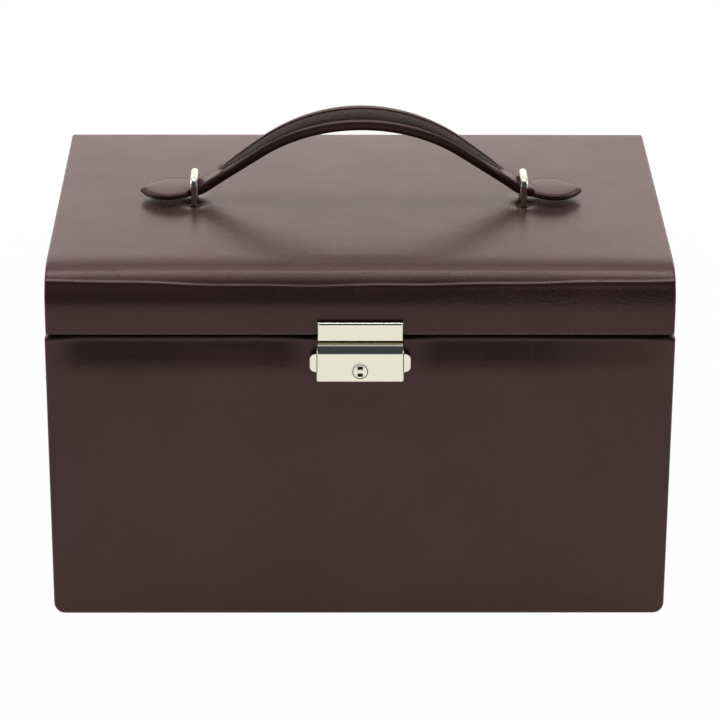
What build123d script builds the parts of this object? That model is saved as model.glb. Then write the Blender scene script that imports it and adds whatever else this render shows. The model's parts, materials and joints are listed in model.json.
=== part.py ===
from build123d import *
from math import cos, radians, sin, tan
import os

os.makedirs("parts", exist_ok=True)

# Jewelry case: a leather covered box with a padded lid on a full width hinge, a push down
# lock, a carrying handle held in two loops and a till that slides on rails.
# Millimetres, +Z up, front towards -Y, origin at the centre of the underside.

# Overall box
case_width = 265.0
case_depth = 174.0
base_height = 130.5
seam_gap = 1.2
lid_height = 27.5
lid_side_inset = 0.5

# Wall layers, from the outside in
leather = 1.2
front_padding = 2.5
top_padding = 3.0
board = 5.0
top_board = 4.0
lining = 1.8

# Rounding and turned in edges of the leather
bottom_side_radius = 5.0
rim_radius = 1.5
edge_radius = 1.2
lid_front_radius = 14.0
lid_rear_radius = 2.5
lid_end_radius = 0.8
turn_under = 12.0

# Floor and inside of the base
floor_board = 5.0
floor_lining = 2.0
lining_below_rim = 0.5
divider_height = 52.0
divider_thickness = 2.5
divider_from_rear = 69.0
side_compartment = 83.0
roll_length = 105.0
roll_depth = 42.0
roll_height = 34.0
roll_radius = 12.0
roll_gap = 8.0

# Sliding till
tray_depth = 92.0
tray_height = 28.0
tray_below_rim = 2.5
tray_wall = 3.5
tray_wall_radius = 1.2
tray_floor = 2.5
tray_pad = 2.0
tray_side_clearance = 0.75
tray_end_clearance = 0.6
tray_divider = 2.0
tray_divider_height = 17.0
ring_section_width = 78.0
ring_roll_count = 7
ring_roll_height = 15.0
ring_roll_gap = 0.8
tab_width = 16.0
tab_thickness = 1.2
tab_length = 12.0
tab_rise = 4.0
tab_radius = 5.0
rail_width = 4.0
rail_height = 6.0
rail_clearance = 0.1

# Mirror in the lid
panel_drop = 1.2
lid_panel = 2.0
mirror_width = 190.0
mirror_depth = 104.0
mirror_thickness = 2.0
mirror_rim = 4.0
mirror_lip = 0.6
mirror_lap = 1.5

# Full width hinge
hinge_margin = 12.5
hinge_leaf = 0.8
hinge_leaf_width = 6.0
hinge_leaf_sink = 0.4
knuckle_radius = 2.0
knuckle_count = 11
knuckle_gap = 0.2
knuckle_wall_gap = 0.3
hinge_pin_radius = 1.1
hinge_running_clearance = 0.05
hinge_stop_angle = 95.0
hinge_stop_rest_angle = 75.0
hinge_stop_slack = 0.6
hinge_stop_width = 6.0
hinge_stop_reach = 4.4
hinge_stop_thickness = 1.2
screw_count = 5
screw_radius = 0.9
screw_head_radius = 1.7
screw_length = 8.0
screw_margin = 16.0

# Lock on the base front
lock_width = 36.5
lock_height = 17.1
lock_depth = 3.6
lock_below_rim = 1.6
lock_wall = 0.8
lock_top_radius = 5.0
lock_corner_radius = 0.7
lock_foot_bevel = 0.4
back_plate_thickness = 0.8
back_plate_sink = 0.5
back_plate_margin = 0.25
slide_clearance = 0.2
layer_clearance = 0.3
slider_thickness = 1.2
slider_travel = 3.0
slider_height = 8.2
slider_below_top = 4.0
ear_height = 8.1
ear_reach = 2.8
ear_thickness = 3.0
ear_set_back = 0.15
ear_gap = 0.1
ear_below_top = 4.3
ear_radius = 2.4
ear_arm_height = 6.0
boss_radius = 1.3
boss_from_centre = 14.5
boss_below_top = 9.4
lock_screw_radius = 0.7
lock_screw_head_radius = 1.6
lock_screw_head = 1.2
lock_screw_bite = 3.8

# Keyhole and key plug
key_above_bottom = 4.9
plug_radius = 2.95
plug_clearance = 0.1
keyhole_groove = 0.35
plug_window_clearance = 0.6
plug_proud = 0.2
plug_length = 2.8
plug_shaft_radius = 1.2
plug_cam_reach = 4.8
plug_cam_width = 2.4
plug_cam_thickness = 1.0
socket_width = 2.3
socket_height = 1.75
socket_depth = 2.2
socket_bridge = 1.4
keyhole_lip = 0.8
keyhole_lip_height = 0.2

# Tongue of the hasp, and the two sprung jaws that grip its sides
tongue_half_width = 6.0
tongue_thickness = 1.4
tongue_length = 10.6
tongue_slot_clearance = 0.5
tongue_lead_in = 0.4
jaw_clearance = 0.1
jaw_above_tongue_end = 2.1
jaw_height = 1.8
jaw_reach = 0.8
catch_bar_width = 2.2
catch_pivot_from_centre = 9.5
catch_pivot_above_bottom = 5.0
catch_pin_radius = 0.9
catch_running_clearance = 0.05
catch_hub_radius = 2.1
catch_arm_reach = 7.5
catch_arm_height = 1.8
catch_pin_head_radius = 1.5
catch_pin_head = 0.5
catch_pin_gap = 0.1
push_lug_width = 1.0
push_lug_height = 1.5

# Springs that lift the slider
spring_from_centre = 8.0
spring_radius = 0.8
spring_wire_radius = 0.18
spring_turns = 6
spring_below_slider_top = 2.8
spring_lug_height = 1.5
shelf_half_width = 10.0

# Hasp plate on the lid front
hasp_width = 35.9
hasp_height = 8.4
hasp_thickness = 2.5
hasp_below_seam = 1.8
hasp_edge_radius = 0.9
hasp_boss_above_seam = 1.4
hasp_boss_height = 3.6
hasp_rivet_from_centre = 12.5
hasp_rivet_radius = 1.2
hasp_rivet_head_radius = 2.3
hasp_rivet_head = 0.8

# Carrying handle, heights over the lid leather
handle_rise = 38.6
handle_arc_radius = 76.0
handle_slope = 35.0
handle_bend_radius = 14.0
leaf_centre_height = 5.4
lower_strap_thickness = 1.7
handle_core_thickness = 0.5
upper_strap_thickness = 1.8
handle_core_inset = 0.9
handle_middle_width = 18.0
handle_swell_up = 0.7
handle_swell_down = 1.2
handle_shift = 1.0
handle_neck_width = 11.4
handle_neck_inboard = 8.0
leaf_width = 23.0
leaf_length = 20.8
leaf_shoulder = 2.0
leaf_shoulder_width = 18.0
leaf_swell_from_tip = 13.0
leaf_flank_from_tip = 6.0
leaf_flank_width = 17.6
leaf_tip_width = 2.0
leaf_tip_rounding = 0.6
inlay_half_length = 61.0
inlay_width = 11.4
inlay_recess = 0.5
inlay_clearance = 0.1

# Loops that hold the handle
loop_inboard_of_bend = 3.6
loop_width = 3.6
loop_foot_width = 2.4
loop_thickness = 2.2
loop_span = 17.6
loop_height = 12.9
loop_outer_radius = 4.0
loop_round = 1.75
loop_leg_radius = 1.0
loop_leg_peen = 0.2
loop_leaf_gap = 2.0
collar_length = 4.4
collar_width = 4.0
collar_thickness = 0.5
clinch_plate_length = 22.0
clinch_plate_width = 8.0
clinch_plate_thickness = 0.8

# Outer faces
half_width = case_width / 2
front = -case_depth / 2
rear = case_depth / 2
lid_bottom = base_height + seam_gap
lid_top = lid_bottom + lid_height
lid_half_width = half_width - lid_side_inset

# Outer and inner faces of the boards and of the lining
board_front = front + leather + front_padding
board_rear = rear - leather
board_side = half_width - leather
board_front_inside = board_front + board
board_rear_inside = board_rear - board
board_side_inside = board_side - board
inner_front = board_front_inside + lining
inner_rear = board_rear_inside - lining
inner_side = board_side_inside - lining
floor_top = leather + floor_board
inner_floor = floor_top + floor_lining
lining_top = base_height - lining_below_rim

# The same in the lid
lid_board_side = lid_half_width - leather
lid_board_side_inside = lid_board_side - board
lid_inner_side = lid_board_side_inside - lining
lid_core_top = lid_top - leather
lid_wood_top = lid_core_top - top_padding
lid_board_bottom = lid_wood_top - top_board
lid_rail_bottom = lid_bottom + leather
lid_lining_bottom = lid_bottom + lining_below_rim
lid_panel_top = lid_board_bottom - panel_drop
lid_panel_bottom = lid_panel_top - lid_panel

# Places in the lock, from the outside in and from the bottom up
lock_half_width = lock_width / 2
lock_top = base_height - lock_below_rim
lock_bottom = lock_top - lock_height
lock_inside = lock_half_width - lock_wall
lock_inside_top = lock_top - lock_wall
lock_arc_y = front - lock_depth + lock_top_radius
lock_arc_z = lock_top - (lock_top_radius ** 2 - (lock_top_radius - lock_depth) ** 2) ** 0.5
lock_inside_bottom = lock_bottom + lock_wall
lock_pocket_half = lock_inside + slide_clearance
back_plate_half = lock_inside - back_plate_margin
cover_front = front - lock_depth
cover_inside = cover_front + lock_wall
slider_front = cover_inside + slide_clearance
slider_rear = slider_front + slider_thickness
back_plate_rear = board_front + back_plate_sink
back_plate_front = back_plate_rear - back_plate_thickness
tongue_rear = back_plate_front - layer_clearance
tongue_front = tongue_rear - tongue_thickness
tongue_bottom = base_height - tongue_length
key_z = lock_bottom + key_above_bottom
boss_z = lock_top - boss_below_top
pivot_z = lock_bottom + catch_pivot_above_bottom
slider_top = lock_top - slider_below_top
slider_bottom = slider_top - slider_height
arm_top = lock_top - ear_below_top - (ear_height - ear_arm_height) / 2
arm_bottom = arm_top - ear_arm_height
shelf_low = lock_inside_bottom + back_plate_margin
shelf_high = shelf_low + back_plate_thickness
spring_outer_radius = spring_radius + spring_wire_radius
spring_y = slider_rear + layer_clearance + spring_outer_radius
spring_top = slider_top - spring_below_slider_top

# Hinge places
hinge_half_length = half_width - hinge_margin
hinge_axis_y = rear + knuckle_wall_gap + knuckle_radius
hinge_axis_z = base_height + seam_gap / 2
base_leaf_low = base_height - hinge_leaf_sink
base_leaf_high = base_leaf_low + hinge_leaf
lid_leaf_high = lid_bottom + hinge_leaf_sink
lid_leaf_low = lid_leaf_high - hinge_leaf
hinge_screw_y = (board_rear + board_rear_inside) / 2
screw_pitch = 2 * (hinge_half_length - screw_margin) / (screw_count - 1)
screw_places = [(index - (screw_count - 1) / 2) * screw_pitch for index in range(screw_count)]

# Handle places, from the crown outwards
slope = radians(handle_slope)
arc_centre_z = lid_top + handle_rise - handle_arc_radius
bend_centre_z = lid_top + leaf_centre_height + handle_bend_radius
arc_end_x = handle_arc_radius * sin(slope)
arc_end_z = arc_centre_z + handle_arc_radius * cos(slope)
bend_start_z = bend_centre_z - handle_bend_radius * cos(slope)
bend_start_x = arc_end_x + (arc_end_z - bend_start_z) / tan(slope)
bend_end_x = bend_start_x + handle_bend_radius * sin(slope)
loop_x = bend_end_x - loop_inboard_of_bend
shoulder_x = loop_x + loop_width / 2 + loop_leaf_gap
tip_x = shoulder_x + leaf_length
strap_half = (lower_strap_thickness + handle_core_thickness + upper_strap_thickness) / 2


def slab(x_low, x_high, y_low, y_high, z_low, z_high, mode=Mode.ADD):
    """Rectangular block between two corners, made in the part being built."""
    with Locations(((x_low + x_high) / 2, (y_low + y_high) / 2, (z_low + z_high) / 2)):
        Box(x_high - x_low, y_high - y_low, z_high - z_low, mode=mode)


def rod_along_x(y, z, radius, x_low, x_high, mode=Mode.ADD):
    """Round rod that runs along X, made in the part being built."""
    with Locations(((x_low + x_high) / 2, y, z)):
        Cylinder(radius, x_high - x_low, rotation=(0, 90, 0), mode=mode)


def rod_along_y(x, z, radius, y_low, y_high, mode=Mode.ADD):
    """Round rod that runs along Y, made in the part being built."""
    with Locations((x, (y_low + y_high) / 2, z)):
        Cylinder(radius, y_high - y_low, rotation=(90, 0, 0), mode=mode)


def rod_along_z(x, y, radius, z_low, z_high, mode=Mode.ADD):
    """Round rod that runs along Z, made in the part being built."""
    with Locations((x, y, (z_low + z_high) / 2)):
        Cylinder(radius, z_high - z_low, mode=mode)


def save(piece, name):
    """Label a finished piece and write it to its own file."""
    piece.part.label = name
    export_step(piece.part, f"parts/{name}.step")


# Hinge screws, with flat heads let into the leaves
def leaf_screws(head_z, direction):
    """Row of screws whose heads start at a height; direction is +1 for points upwards."""
    head_depth = direction * (screw_head_radius - screw_radius)
    point_z = head_z + direction * screw_length
    with BuildPart() as screws:
        for x in screw_places:
            rod_along_z(x, hinge_screw_y, screw_radius, min(head_z, point_z), max(head_z, point_z))
            with Locations((x, hinge_screw_y, head_z + head_depth / 2)):
                if direction > 0:
                    Cone(screw_head_radius, screw_radius, head_depth)
                else:
                    Cone(screw_radius, screw_head_radius, -head_depth)
    return screws


hinge_base_screws = leaf_screws(base_leaf_high, -1)
save(hinge_base_screws, "hinge_base_screws")

hinge_lid_screws = leaf_screws(lid_leaf_low, 1)
save(hinge_lid_screws, "hinge_lid_screws")

# Lock screws, driven from inside the front board into the bosses of the cover
with BuildPart() as lock_screws:
    for x in (-boss_from_centre, boss_from_centre):
        rod_along_y(x, boss_z, lock_screw_radius, back_plate_front - lock_screw_bite,
                    board_front_inside)
        rod_along_y(x, boss_z, lock_screw_head_radius, board_front_inside - lock_screw_head,
                    board_front_inside)
save(lock_screws, "lock_screws")

# Lock back plate with the shelf that the springs stand on
with BuildPart() as lock_back_plate:
    slab(-back_plate_half, back_plate_half, back_plate_front, back_plate_rear,
         shelf_low, lock_inside_top - back_plate_margin)
    slab(-shelf_half_width, shelf_half_width, slider_rear + slide_clearance,
         back_plate_front, shelf_low, shelf_high)
    rod_along_y(0, key_z, plug_shaft_radius + plug_clearance, back_plate_front,
                back_plate_rear, mode=Mode.SUBTRACT)
    add(lock_screws.part, mode=Mode.SUBTRACT)
save(lock_back_plate, "lock_back_plate")

# Outline of the base, and the core that its leather wraps
with BuildPart() as base_outline:
    slab(-half_width, half_width, front, rear, 0, base_height)
    fillet(base_outline.edges().filter_by(Axis.Y).group_by(Axis.Z)[0], bottom_side_radius)
    fillet(base_outline.edges().filter_by(Axis.Y).group_by(Axis.Z)[-1], rim_radius)
    fillet(base_outline.faces().sort_by(Axis.Y)[0].edges(), edge_radius)
    fillet(base_outline.faces().sort_by(Axis.Y)[-1].edges(), edge_radius)

with BuildPart() as base_core:
    slab(-board_side, board_side, front + leather, board_rear, leather, base_height - leather)
    fillet(base_core.edges().filter_by(Axis.Y).group_by(Axis.Z)[0], bottom_side_radius - leather)

# Openings in the front of the base: the pocket for the lock and the slot for the tongue
with BuildPart() as lock_pocket:
    slab(-lock_pocket_half, lock_pocket_half, front, board_front,
         lock_inside_bottom, lock_inside_top)
    slab(-tongue_half_width - tongue_slot_clearance, tongue_half_width + tongue_slot_clearance,
         tongue_front - tongue_slot_clearance, back_plate_front,
         lock_inside_bottom, base_height)

# Leather of the base: one wrap, cut into four panels that meet in mitres at the corners
with BuildPart() as base_wrap:
    add(base_outline.part)
    add(base_core.part, mode=Mode.SUBTRACT)
    slab(-board_side_inside, board_side_inside, board_front_inside, board_rear_inside,
         base_height - leather, base_height, mode=Mode.SUBTRACT)
    slab(turn_under - half_width, half_width - turn_under, front + turn_under,
         rear - turn_under, 0, leather, mode=Mode.SUBTRACT)
    add(lock_pocket.part, mode=Mode.SUBTRACT)
    slab(-hinge_half_length, hinge_half_length, rear - hinge_leaf_width, rear,
         base_leaf_low, base_height, mode=Mode.SUBTRACT)
    add(hinge_base_screws.part, mode=Mode.SUBTRACT)

mitre_margin = 1.0
mitre_outer = (half_width + mitre_margin, rear + mitre_margin)
mitre_inner = (half_width - turn_under - mitre_margin, rear - turn_under - mitre_margin)
corner_signs = ((-1, -1), (1, -1), (1, 1), (-1, 1))
for side, name in enumerate(("front", "right", "rear", "left")):
    start = corner_signs[side]
    end = corner_signs[(side + 1) % len(corner_signs)]
    with BuildPart() as base_leather_panel:
        add(base_wrap.part)
        with BuildSketch(Plane.XY):
            Polygon(
                (start[0] * mitre_outer[0], start[1] * mitre_outer[1]),
                (end[0] * mitre_outer[0], end[1] * mitre_outer[1]),
                (end[0] * mitre_inner[0], end[1] * mitre_inner[1]),
                (start[0] * mitre_inner[0], start[1] * mitre_inner[1]),
                align=None,
            )
        extrude(amount=base_height, mode=Mode.INTERSECT)
    save(base_leather_panel, f"base_{name}_leather")

with BuildPart() as base_bottom_cloth:
    slab(turn_under - half_width, half_width - turn_under, front + turn_under,
         rear - turn_under, 0, leather)
save(base_bottom_cloth, "base_bottom_cloth")

# Foam under the front leather
with BuildPart() as base_front_padding:
    add(base_core.part)
    slab(-half_width, half_width, front, board_front, 0, base_height, mode=Mode.INTERSECT)
    add(lock_pocket.part, mode=Mode.SUBTRACT)
save(base_front_padding, "base_front_padding")

# Boards of the base
with BuildPart() as base_front_board:
    add(base_core.part)
    slab(-half_width, half_width, board_front, board_front_inside, 0, base_height,
         mode=Mode.INTERSECT)
    add(lock_back_plate.part, mode=Mode.SUBTRACT)
    add(lock_screws.part, mode=Mode.SUBTRACT)
    rod_along_y(0, key_z, plug_shaft_radius + plug_clearance, back_plate_front,
                back_plate_rear, mode=Mode.SUBTRACT)
save(base_front_board, "base_front_board")

with BuildPart() as base_rear_board:
    add(base_core.part)
    slab(-half_width, half_width, board_rear_inside, board_rear, 0, base_height,
         mode=Mode.INTERSECT)
    add(hinge_base_screws.part, mode=Mode.SUBTRACT)
save(base_rear_board, "base_rear_board")

with BuildPart() as base_side_boards:
    add(base_core.part)
    slab(-half_width, half_width, board_front_inside, board_rear_inside, 0, base_height,
         mode=Mode.INTERSECT)
    slab(-board_side_inside, board_side_inside, board_front_inside, board_rear_inside,
         0, base_height, mode=Mode.SUBTRACT)
save(base_side_boards, "base_side_boards")

with BuildPart() as base_bottom_board:
    slab(-board_side_inside, board_side_inside, board_front_inside, board_rear_inside,
         leather, floor_top)
save(base_bottom_board, "base_bottom_board")

# Lining of the base
with BuildPart() as base_floor_lining:
    slab(-board_side_inside, board_side_inside, board_front_inside, board_rear_inside,
         floor_top, inner_floor)
save(base_floor_lining, "base_floor_lining")

with BuildPart() as base_front_lining:
    slab(-board_side_inside, board_side_inside, board_front_inside, inner_front,
         inner_floor, lining_top)
save(base_front_lining, "base_front_lining")

with BuildPart() as base_rear_lining:
    slab(-board_side_inside, board_side_inside, inner_rear, board_rear_inside,
         inner_floor, lining_top)
save(base_rear_lining, "base_rear_lining")

with BuildPart() as base_side_linings:
    slab(-board_side_inside, -inner_side, inner_front, inner_rear, inner_floor, lining_top)
    slab(inner_side, board_side_inside, inner_front, inner_rear, inner_floor, lining_top)
save(base_side_linings, "base_side_linings")

# Lower compartments
divider_y = inner_rear - divider_from_rear
divider_top = inner_floor + divider_height
with BuildPart() as long_divider:
    slab(-inner_side, inner_side, divider_y - divider_thickness, divider_y,
         inner_floor, divider_top)
save(long_divider, "long_divider")

cross_divider_x = inner_side - side_compartment
with BuildPart() as cross_dividers:
    for x in (-cross_divider_x, cross_divider_x):
        slab(x - divider_thickness / 2, x + divider_thickness / 2, divider_y, inner_rear,
             inner_floor, divider_top)
save(cross_dividers, "cross_dividers")

roll_y = (inner_front + divider_y - divider_thickness) / 2
with BuildPart() as bracelet_rolls:
    for x in (-(roll_length + roll_gap) / 2, (roll_length + roll_gap) / 2):
        slab(x - roll_length / 2, x + roll_length / 2, roll_y - roll_depth / 2,
             roll_y + roll_depth / 2, inner_floor, inner_floor + roll_height)
    fillet(bracelet_rolls.edges().filter_by(Axis.X), roll_radius)
save(bracelet_rolls, "bracelet_rolls")

# Sliding till and its rails
tray_top = base_height - tray_below_rim
tray_bottom = tray_top - tray_height
tray_half_width = inner_side - tray_side_clearance
tray_rear = inner_rear - tray_end_clearance
tray_front = tray_rear - tray_depth
tray_inside_half = tray_half_width - tray_wall
tray_inside_front = tray_front + tray_wall
tray_inside_rear = tray_rear - tray_wall
tray_floor_top = tray_bottom + tray_floor
tray_pad_top = tray_floor_top + tray_pad
tray_divider_top = tray_pad_top + tray_divider_height
rail_top = tray_bottom - rail_clearance

with BuildPart() as tray_rails:
    for low, high in ((-inner_side, rail_width - inner_side), (inner_side - rail_width, inner_side)):
        slab(low, high, inner_front, inner_rear, rail_top - rail_height, rail_top)
save(tray_rails, "tray_rails")

with BuildPart() as tray_long_walls:
    for low, high in ((tray_front, tray_inside_front), (tray_inside_rear, tray_rear)):
        slab(-tray_half_width, tray_half_width, low, high, tray_bottom, tray_top)
    fillet(tray_long_walls.edges().filter_by(Axis.X).group_by(Axis.Z)[-1], tray_wall_radius)
save(tray_long_walls, "tray_long_walls")

with BuildPart() as tray_short_walls:
    for low, high in ((-tray_half_width, -tray_inside_half), (tray_inside_half, tray_half_width)):
        slab(low, high, tray_inside_front, tray_inside_rear, tray_bottom, tray_top)
    fillet(tray_short_walls.edges().filter_by(Axis.Y).group_by(Axis.Z)[-1], tray_wall_radius)
save(tray_short_walls, "tray_short_walls")

with BuildPart() as tray_base:
    slab(-tray_inside_half, tray_inside_half, tray_inside_front, tray_inside_rear,
         tray_bottom, tray_floor_top)
save(tray_base, "tray_base")

with BuildPart() as tray_floor_pad:
    slab(-tray_inside_half, tray_inside_half, tray_inside_front, tray_inside_rear,
         tray_floor_top, tray_pad_top)
save(tray_floor_pad, "tray_floor_pad")

# The ring section is on the left; the rest has a long box in front and three behind
ring_wall_x = ring_section_width - tray_inside_half
tray_middle_y = (tray_inside_front + tray_inside_rear) / 2
box_width = (tray_inside_half - ring_wall_x) / 3
with BuildPart() as tray_dividers:
    slab(ring_wall_x, ring_wall_x + tray_divider, tray_inside_front, tray_inside_rear,
         tray_pad_top, tray_divider_top)
    slab(ring_wall_x, tray_inside_half, tray_middle_y - tray_divider / 2,
         tray_middle_y + tray_divider / 2, tray_pad_top, tray_divider_top)
    for column in (1, 2):
        x = ring_wall_x + column * box_width
        slab(x - tray_divider / 2, x + tray_divider / 2, tray_middle_y, tray_inside_rear,
             tray_pad_top, tray_divider_top)
save(tray_dividers, "tray_dividers")

ring_pitch = (tray_inside_rear - tray_inside_front) / ring_roll_count
ring_roll_radius = (ring_pitch - ring_roll_gap) / 2
ring_crown_z = tray_pad_top + ring_roll_height - ring_roll_radius
with BuildPart() as ring_rolls:
    for row in range(ring_roll_count):
        y = tray_inside_front + (row + 0.5) * ring_pitch
        slab(ring_roll_gap - tray_inside_half, ring_wall_x - ring_roll_gap,
             y - ring_roll_radius, y + ring_roll_radius, tray_pad_top, ring_crown_z)
        rod_along_x(y, ring_crown_z, ring_roll_radius,
                    ring_roll_gap - tray_inside_half, ring_wall_x - ring_roll_gap)
save(ring_rolls, "ring_rolls")

with BuildPart() as tray_pull_tab:
    slab(-tab_width / 2, tab_width / 2, tray_inside_front, tray_inside_front + tab_thickness,
         tray_top + tab_rise - tab_length, tray_top + tab_rise)
    fillet(tray_pull_tab.edges().filter_by(Axis.Y).group_by(Axis.Z)[-1], tab_radius)
save(tray_pull_tab, "tray_pull_tab")

# Hinge: two leaves with alternating knuckles on one pin
knuckle_pitch = 2 * hinge_half_length / knuckle_count
knuckle_length = knuckle_pitch - knuckle_gap


def hinge_half(leaf_low, first_knuckle, bore_radius):
    """Leaf along the rim with every second knuckle, bored for the pin."""
    with BuildPart() as leaf:
        slab(-hinge_half_length, hinge_half_length, rear - hinge_leaf_width, rear,
             leaf_low, leaf_low + hinge_leaf)
        for index in range(first_knuckle, knuckle_count, 2):
            x = -hinge_half_length + (index + 0.5) * knuckle_pitch
            slab(x - knuckle_length / 2, x + knuckle_length / 2, rear, hinge_axis_y,
                 leaf_low, leaf_low + hinge_leaf)
            rod_along_x(hinge_axis_y, hinge_axis_z, knuckle_radius,
                        x - knuckle_length / 2, x + knuckle_length / 2)
        rod_along_x(hinge_axis_y, hinge_axis_z, bore_radius, -half_width, half_width,
                    mode=Mode.SUBTRACT)
    return leaf.part


def stop_finger(x_low, x_high, face_angle, align, inner_radius):
    """Plate that stands out of the hinge; its contact face points through the axis."""
    foot_y = hinge_axis_y + inner_radius * cos(radians(face_angle))
    foot_z = hinge_axis_z + inner_radius * sin(radians(face_angle))
    with BuildPart() as finger:
        with BuildSketch(Plane.YZ.offset(x_low)):
            with Locations((foot_y, foot_z)):
                Rectangle(hinge_stop_reach - inner_radius, hinge_stop_thickness,
                          rotation=face_angle, align=(Align.MIN, align))
        extrude(amount=x_high - x_low)
    return finger.part


# A finger on each outermost lid knuckle meets one that reaches over from the base leaf
base_stop_angle = hinge_stop_rest_angle - hinge_stop_angle - hinge_stop_slack
finger_root = (knuckle_radius + hinge_pin_radius) / 2
finger_clear = knuckle_radius + knuckle_wall_gap
stop_seam = hinge_half_length - knuckle_pitch

with BuildPart() as hinge_base_leaf:
    add(hinge_half(base_leaf_low, 0, hinge_pin_radius))
    for side in (-1, 1):
        root = sorted((side * (stop_seam + knuckle_gap), side * (stop_seam + hinge_stop_width)))
        whole = sorted((side * (stop_seam - hinge_stop_width), side * (stop_seam + hinge_stop_width)))
        add(stop_finger(root[0], root[1], base_stop_angle, Align.MAX, finger_root))
        add(stop_finger(whole[0], whole[1], base_stop_angle, Align.MAX, finger_clear))
    add(hinge_base_screws.part, mode=Mode.SUBTRACT)
save(hinge_base_leaf, "hinge_base_leaf")

with BuildPart() as hinge_lid_leaf:
    add(hinge_half(lid_leaf_low, 1, hinge_pin_radius + hinge_running_clearance))
    for side in (-1, 1):
        root = sorted((side * (stop_seam - knuckle_gap), side * (stop_seam - hinge_stop_width)))
        add(stop_finger(root[0], root[1], hinge_stop_rest_angle, Align.MIN, finger_root))
    add(hinge_lid_screws.part, mode=Mode.SUBTRACT)
save(hinge_lid_leaf, "hinge_lid_leaf")

with BuildPart() as hinge_pin:
    rod_along_x(hinge_axis_y, hinge_axis_z, hinge_pin_radius, -hinge_half_length,
                hinge_half_length)
save(hinge_pin, "hinge_pin")

# Lock cover: a shell with a rolled top edge, slots for the ears and two screw bosses
def rolled_block(half_length, y_front, z_low, z_high, radius):
    """Block on the leather whose top front edge follows the arc of the rolled top."""
    with BuildPart() as block:
        slab(-half_length, half_length, y_front, front, z_low, lock_arc_z)
        rod_along_x(lock_arc_y, lock_arc_z, radius, -half_length, half_length)
        slab(-half_length, half_length, y_front, front, z_low, z_high, mode=Mode.INTERSECT)
    return block.part


with BuildPart() as lock_cover:
    add(rolled_block(lock_half_width, cover_front, lock_bottom, lock_top, lock_top_radius))
    fillet(lock_cover.edges().filter_by(Axis.Y), lock_corner_radius)
    chamfer(lock_cover.faces().sort_by(Axis.Y)[0].edges().sort_by(Axis.Z)[0], lock_foot_bevel)

with BuildPart() as lock_hollow:
    add(rolled_block(lock_inside, cover_inside, lock_inside_bottom, lock_inside_top,
                     lock_top_radius - lock_wall))

with lock_cover:
    add(lock_hollow.part, mode=Mode.SUBTRACT)
    slab(-half_width, half_width, cover_inside, slider_rear + slide_clearance,
         arm_bottom - slider_travel - slide_clearance, arm_top + slide_clearance,
         mode=Mode.SUBTRACT)
    rod_along_y(0, key_z, plug_radius + keyhole_lip, cover_front - keyhole_lip_height,
                cover_inside)
    rod_along_y(0, key_z, plug_radius + keyhole_groove, cover_front - lock_depth, cover_inside,
                mode=Mode.SUBTRACT)
    for x in (-boss_from_centre, boss_from_centre):
        rod_along_y(x, boss_z, boss_radius, cover_inside, back_plate_front)
    add(lock_screws.part, mode=Mode.SUBTRACT)
save(lock_cover, "lock_cover")

# Slider: a plate behind the cover with an ear on each side to push it down
push_lug_low = pivot_z + catch_arm_height / 2 + slide_clearance
ear_inner = lock_half_width + ear_gap
ear_top = lock_top - ear_below_top
ear_front = cover_front + ear_set_back
plug_window = plug_radius + plug_window_clearance
with BuildPart() as lock_slider:
    slab(-back_plate_half, back_plate_half, slider_front, slider_rear, slider_bottom, slider_top)
    slab(-ear_inner, ear_inner, slider_front, slider_rear, arm_bottom, arm_top)
    slab(-plug_window, plug_window, slider_front, slider_rear, slider_bottom,
         key_z + slider_travel, mode=Mode.SUBTRACT)
    rod_along_y(0, key_z + slider_travel, plug_window, slider_front, slider_rear,
                mode=Mode.SUBTRACT)
    guide = boss_radius + slide_clearance
    for side in (-1, 1):
        x = side * boss_from_centre
        slab(x - guide, x + guide, slider_front, slider_rear, boss_z, boss_z + slider_travel,
             mode=Mode.SUBTRACT)
        for z in (boss_z, boss_z + slider_travel):
            rod_along_y(x, z, guide, slider_front, slider_rear, mode=Mode.SUBTRACT)
        lug = sorted((side * (back_plate_half - push_lug_width), side * back_plate_half))
        slab(lug[0], lug[1], slider_rear, tongue_rear, push_lug_low,
             push_lug_low + push_lug_height)
        x = side * spring_from_centre
        slab(x - spring_outer_radius, x + spring_outer_radius, slider_rear,
             spring_y + spring_outer_radius, spring_top, spring_top + spring_lug_height)
        ear = sorted((side * ear_inner, side * (ear_inner + ear_reach)))
        slab(ear[0], ear[1], ear_front, ear_front + ear_thickness, ear_top - ear_height, ear_top)
    fillet(lock_slider.faces().sort_by(Axis.X)[0].edges().filter_by(Axis.Y), ear_radius)
    fillet(lock_slider.faces().sort_by(Axis.X)[-1].edges().filter_by(Axis.Y), ear_radius)
save(lock_slider, "lock_slider")


def coil_spring(x):
    """Open coil of round wire, standing on the shelf."""
    length = spring_top - shelf_high - 2 * spring_wire_radius
    with BuildPart() as coil:
        with BuildLine():
            turns = Helix(length / spring_turns, length, spring_radius,
                          center=(x, spring_y, shelf_high + spring_wire_radius))
        with BuildSketch(Plane(origin=turns @ 0, z_dir=turns % 0)):
            Circle(spring_wire_radius)
        sweep(is_frenet=True)
    return coil.part


with BuildPart() as lock_springs:
    for x in (-spring_from_centre, spring_from_centre):
        add(coil_spring(x))
save(lock_springs, "lock_springs")

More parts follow.
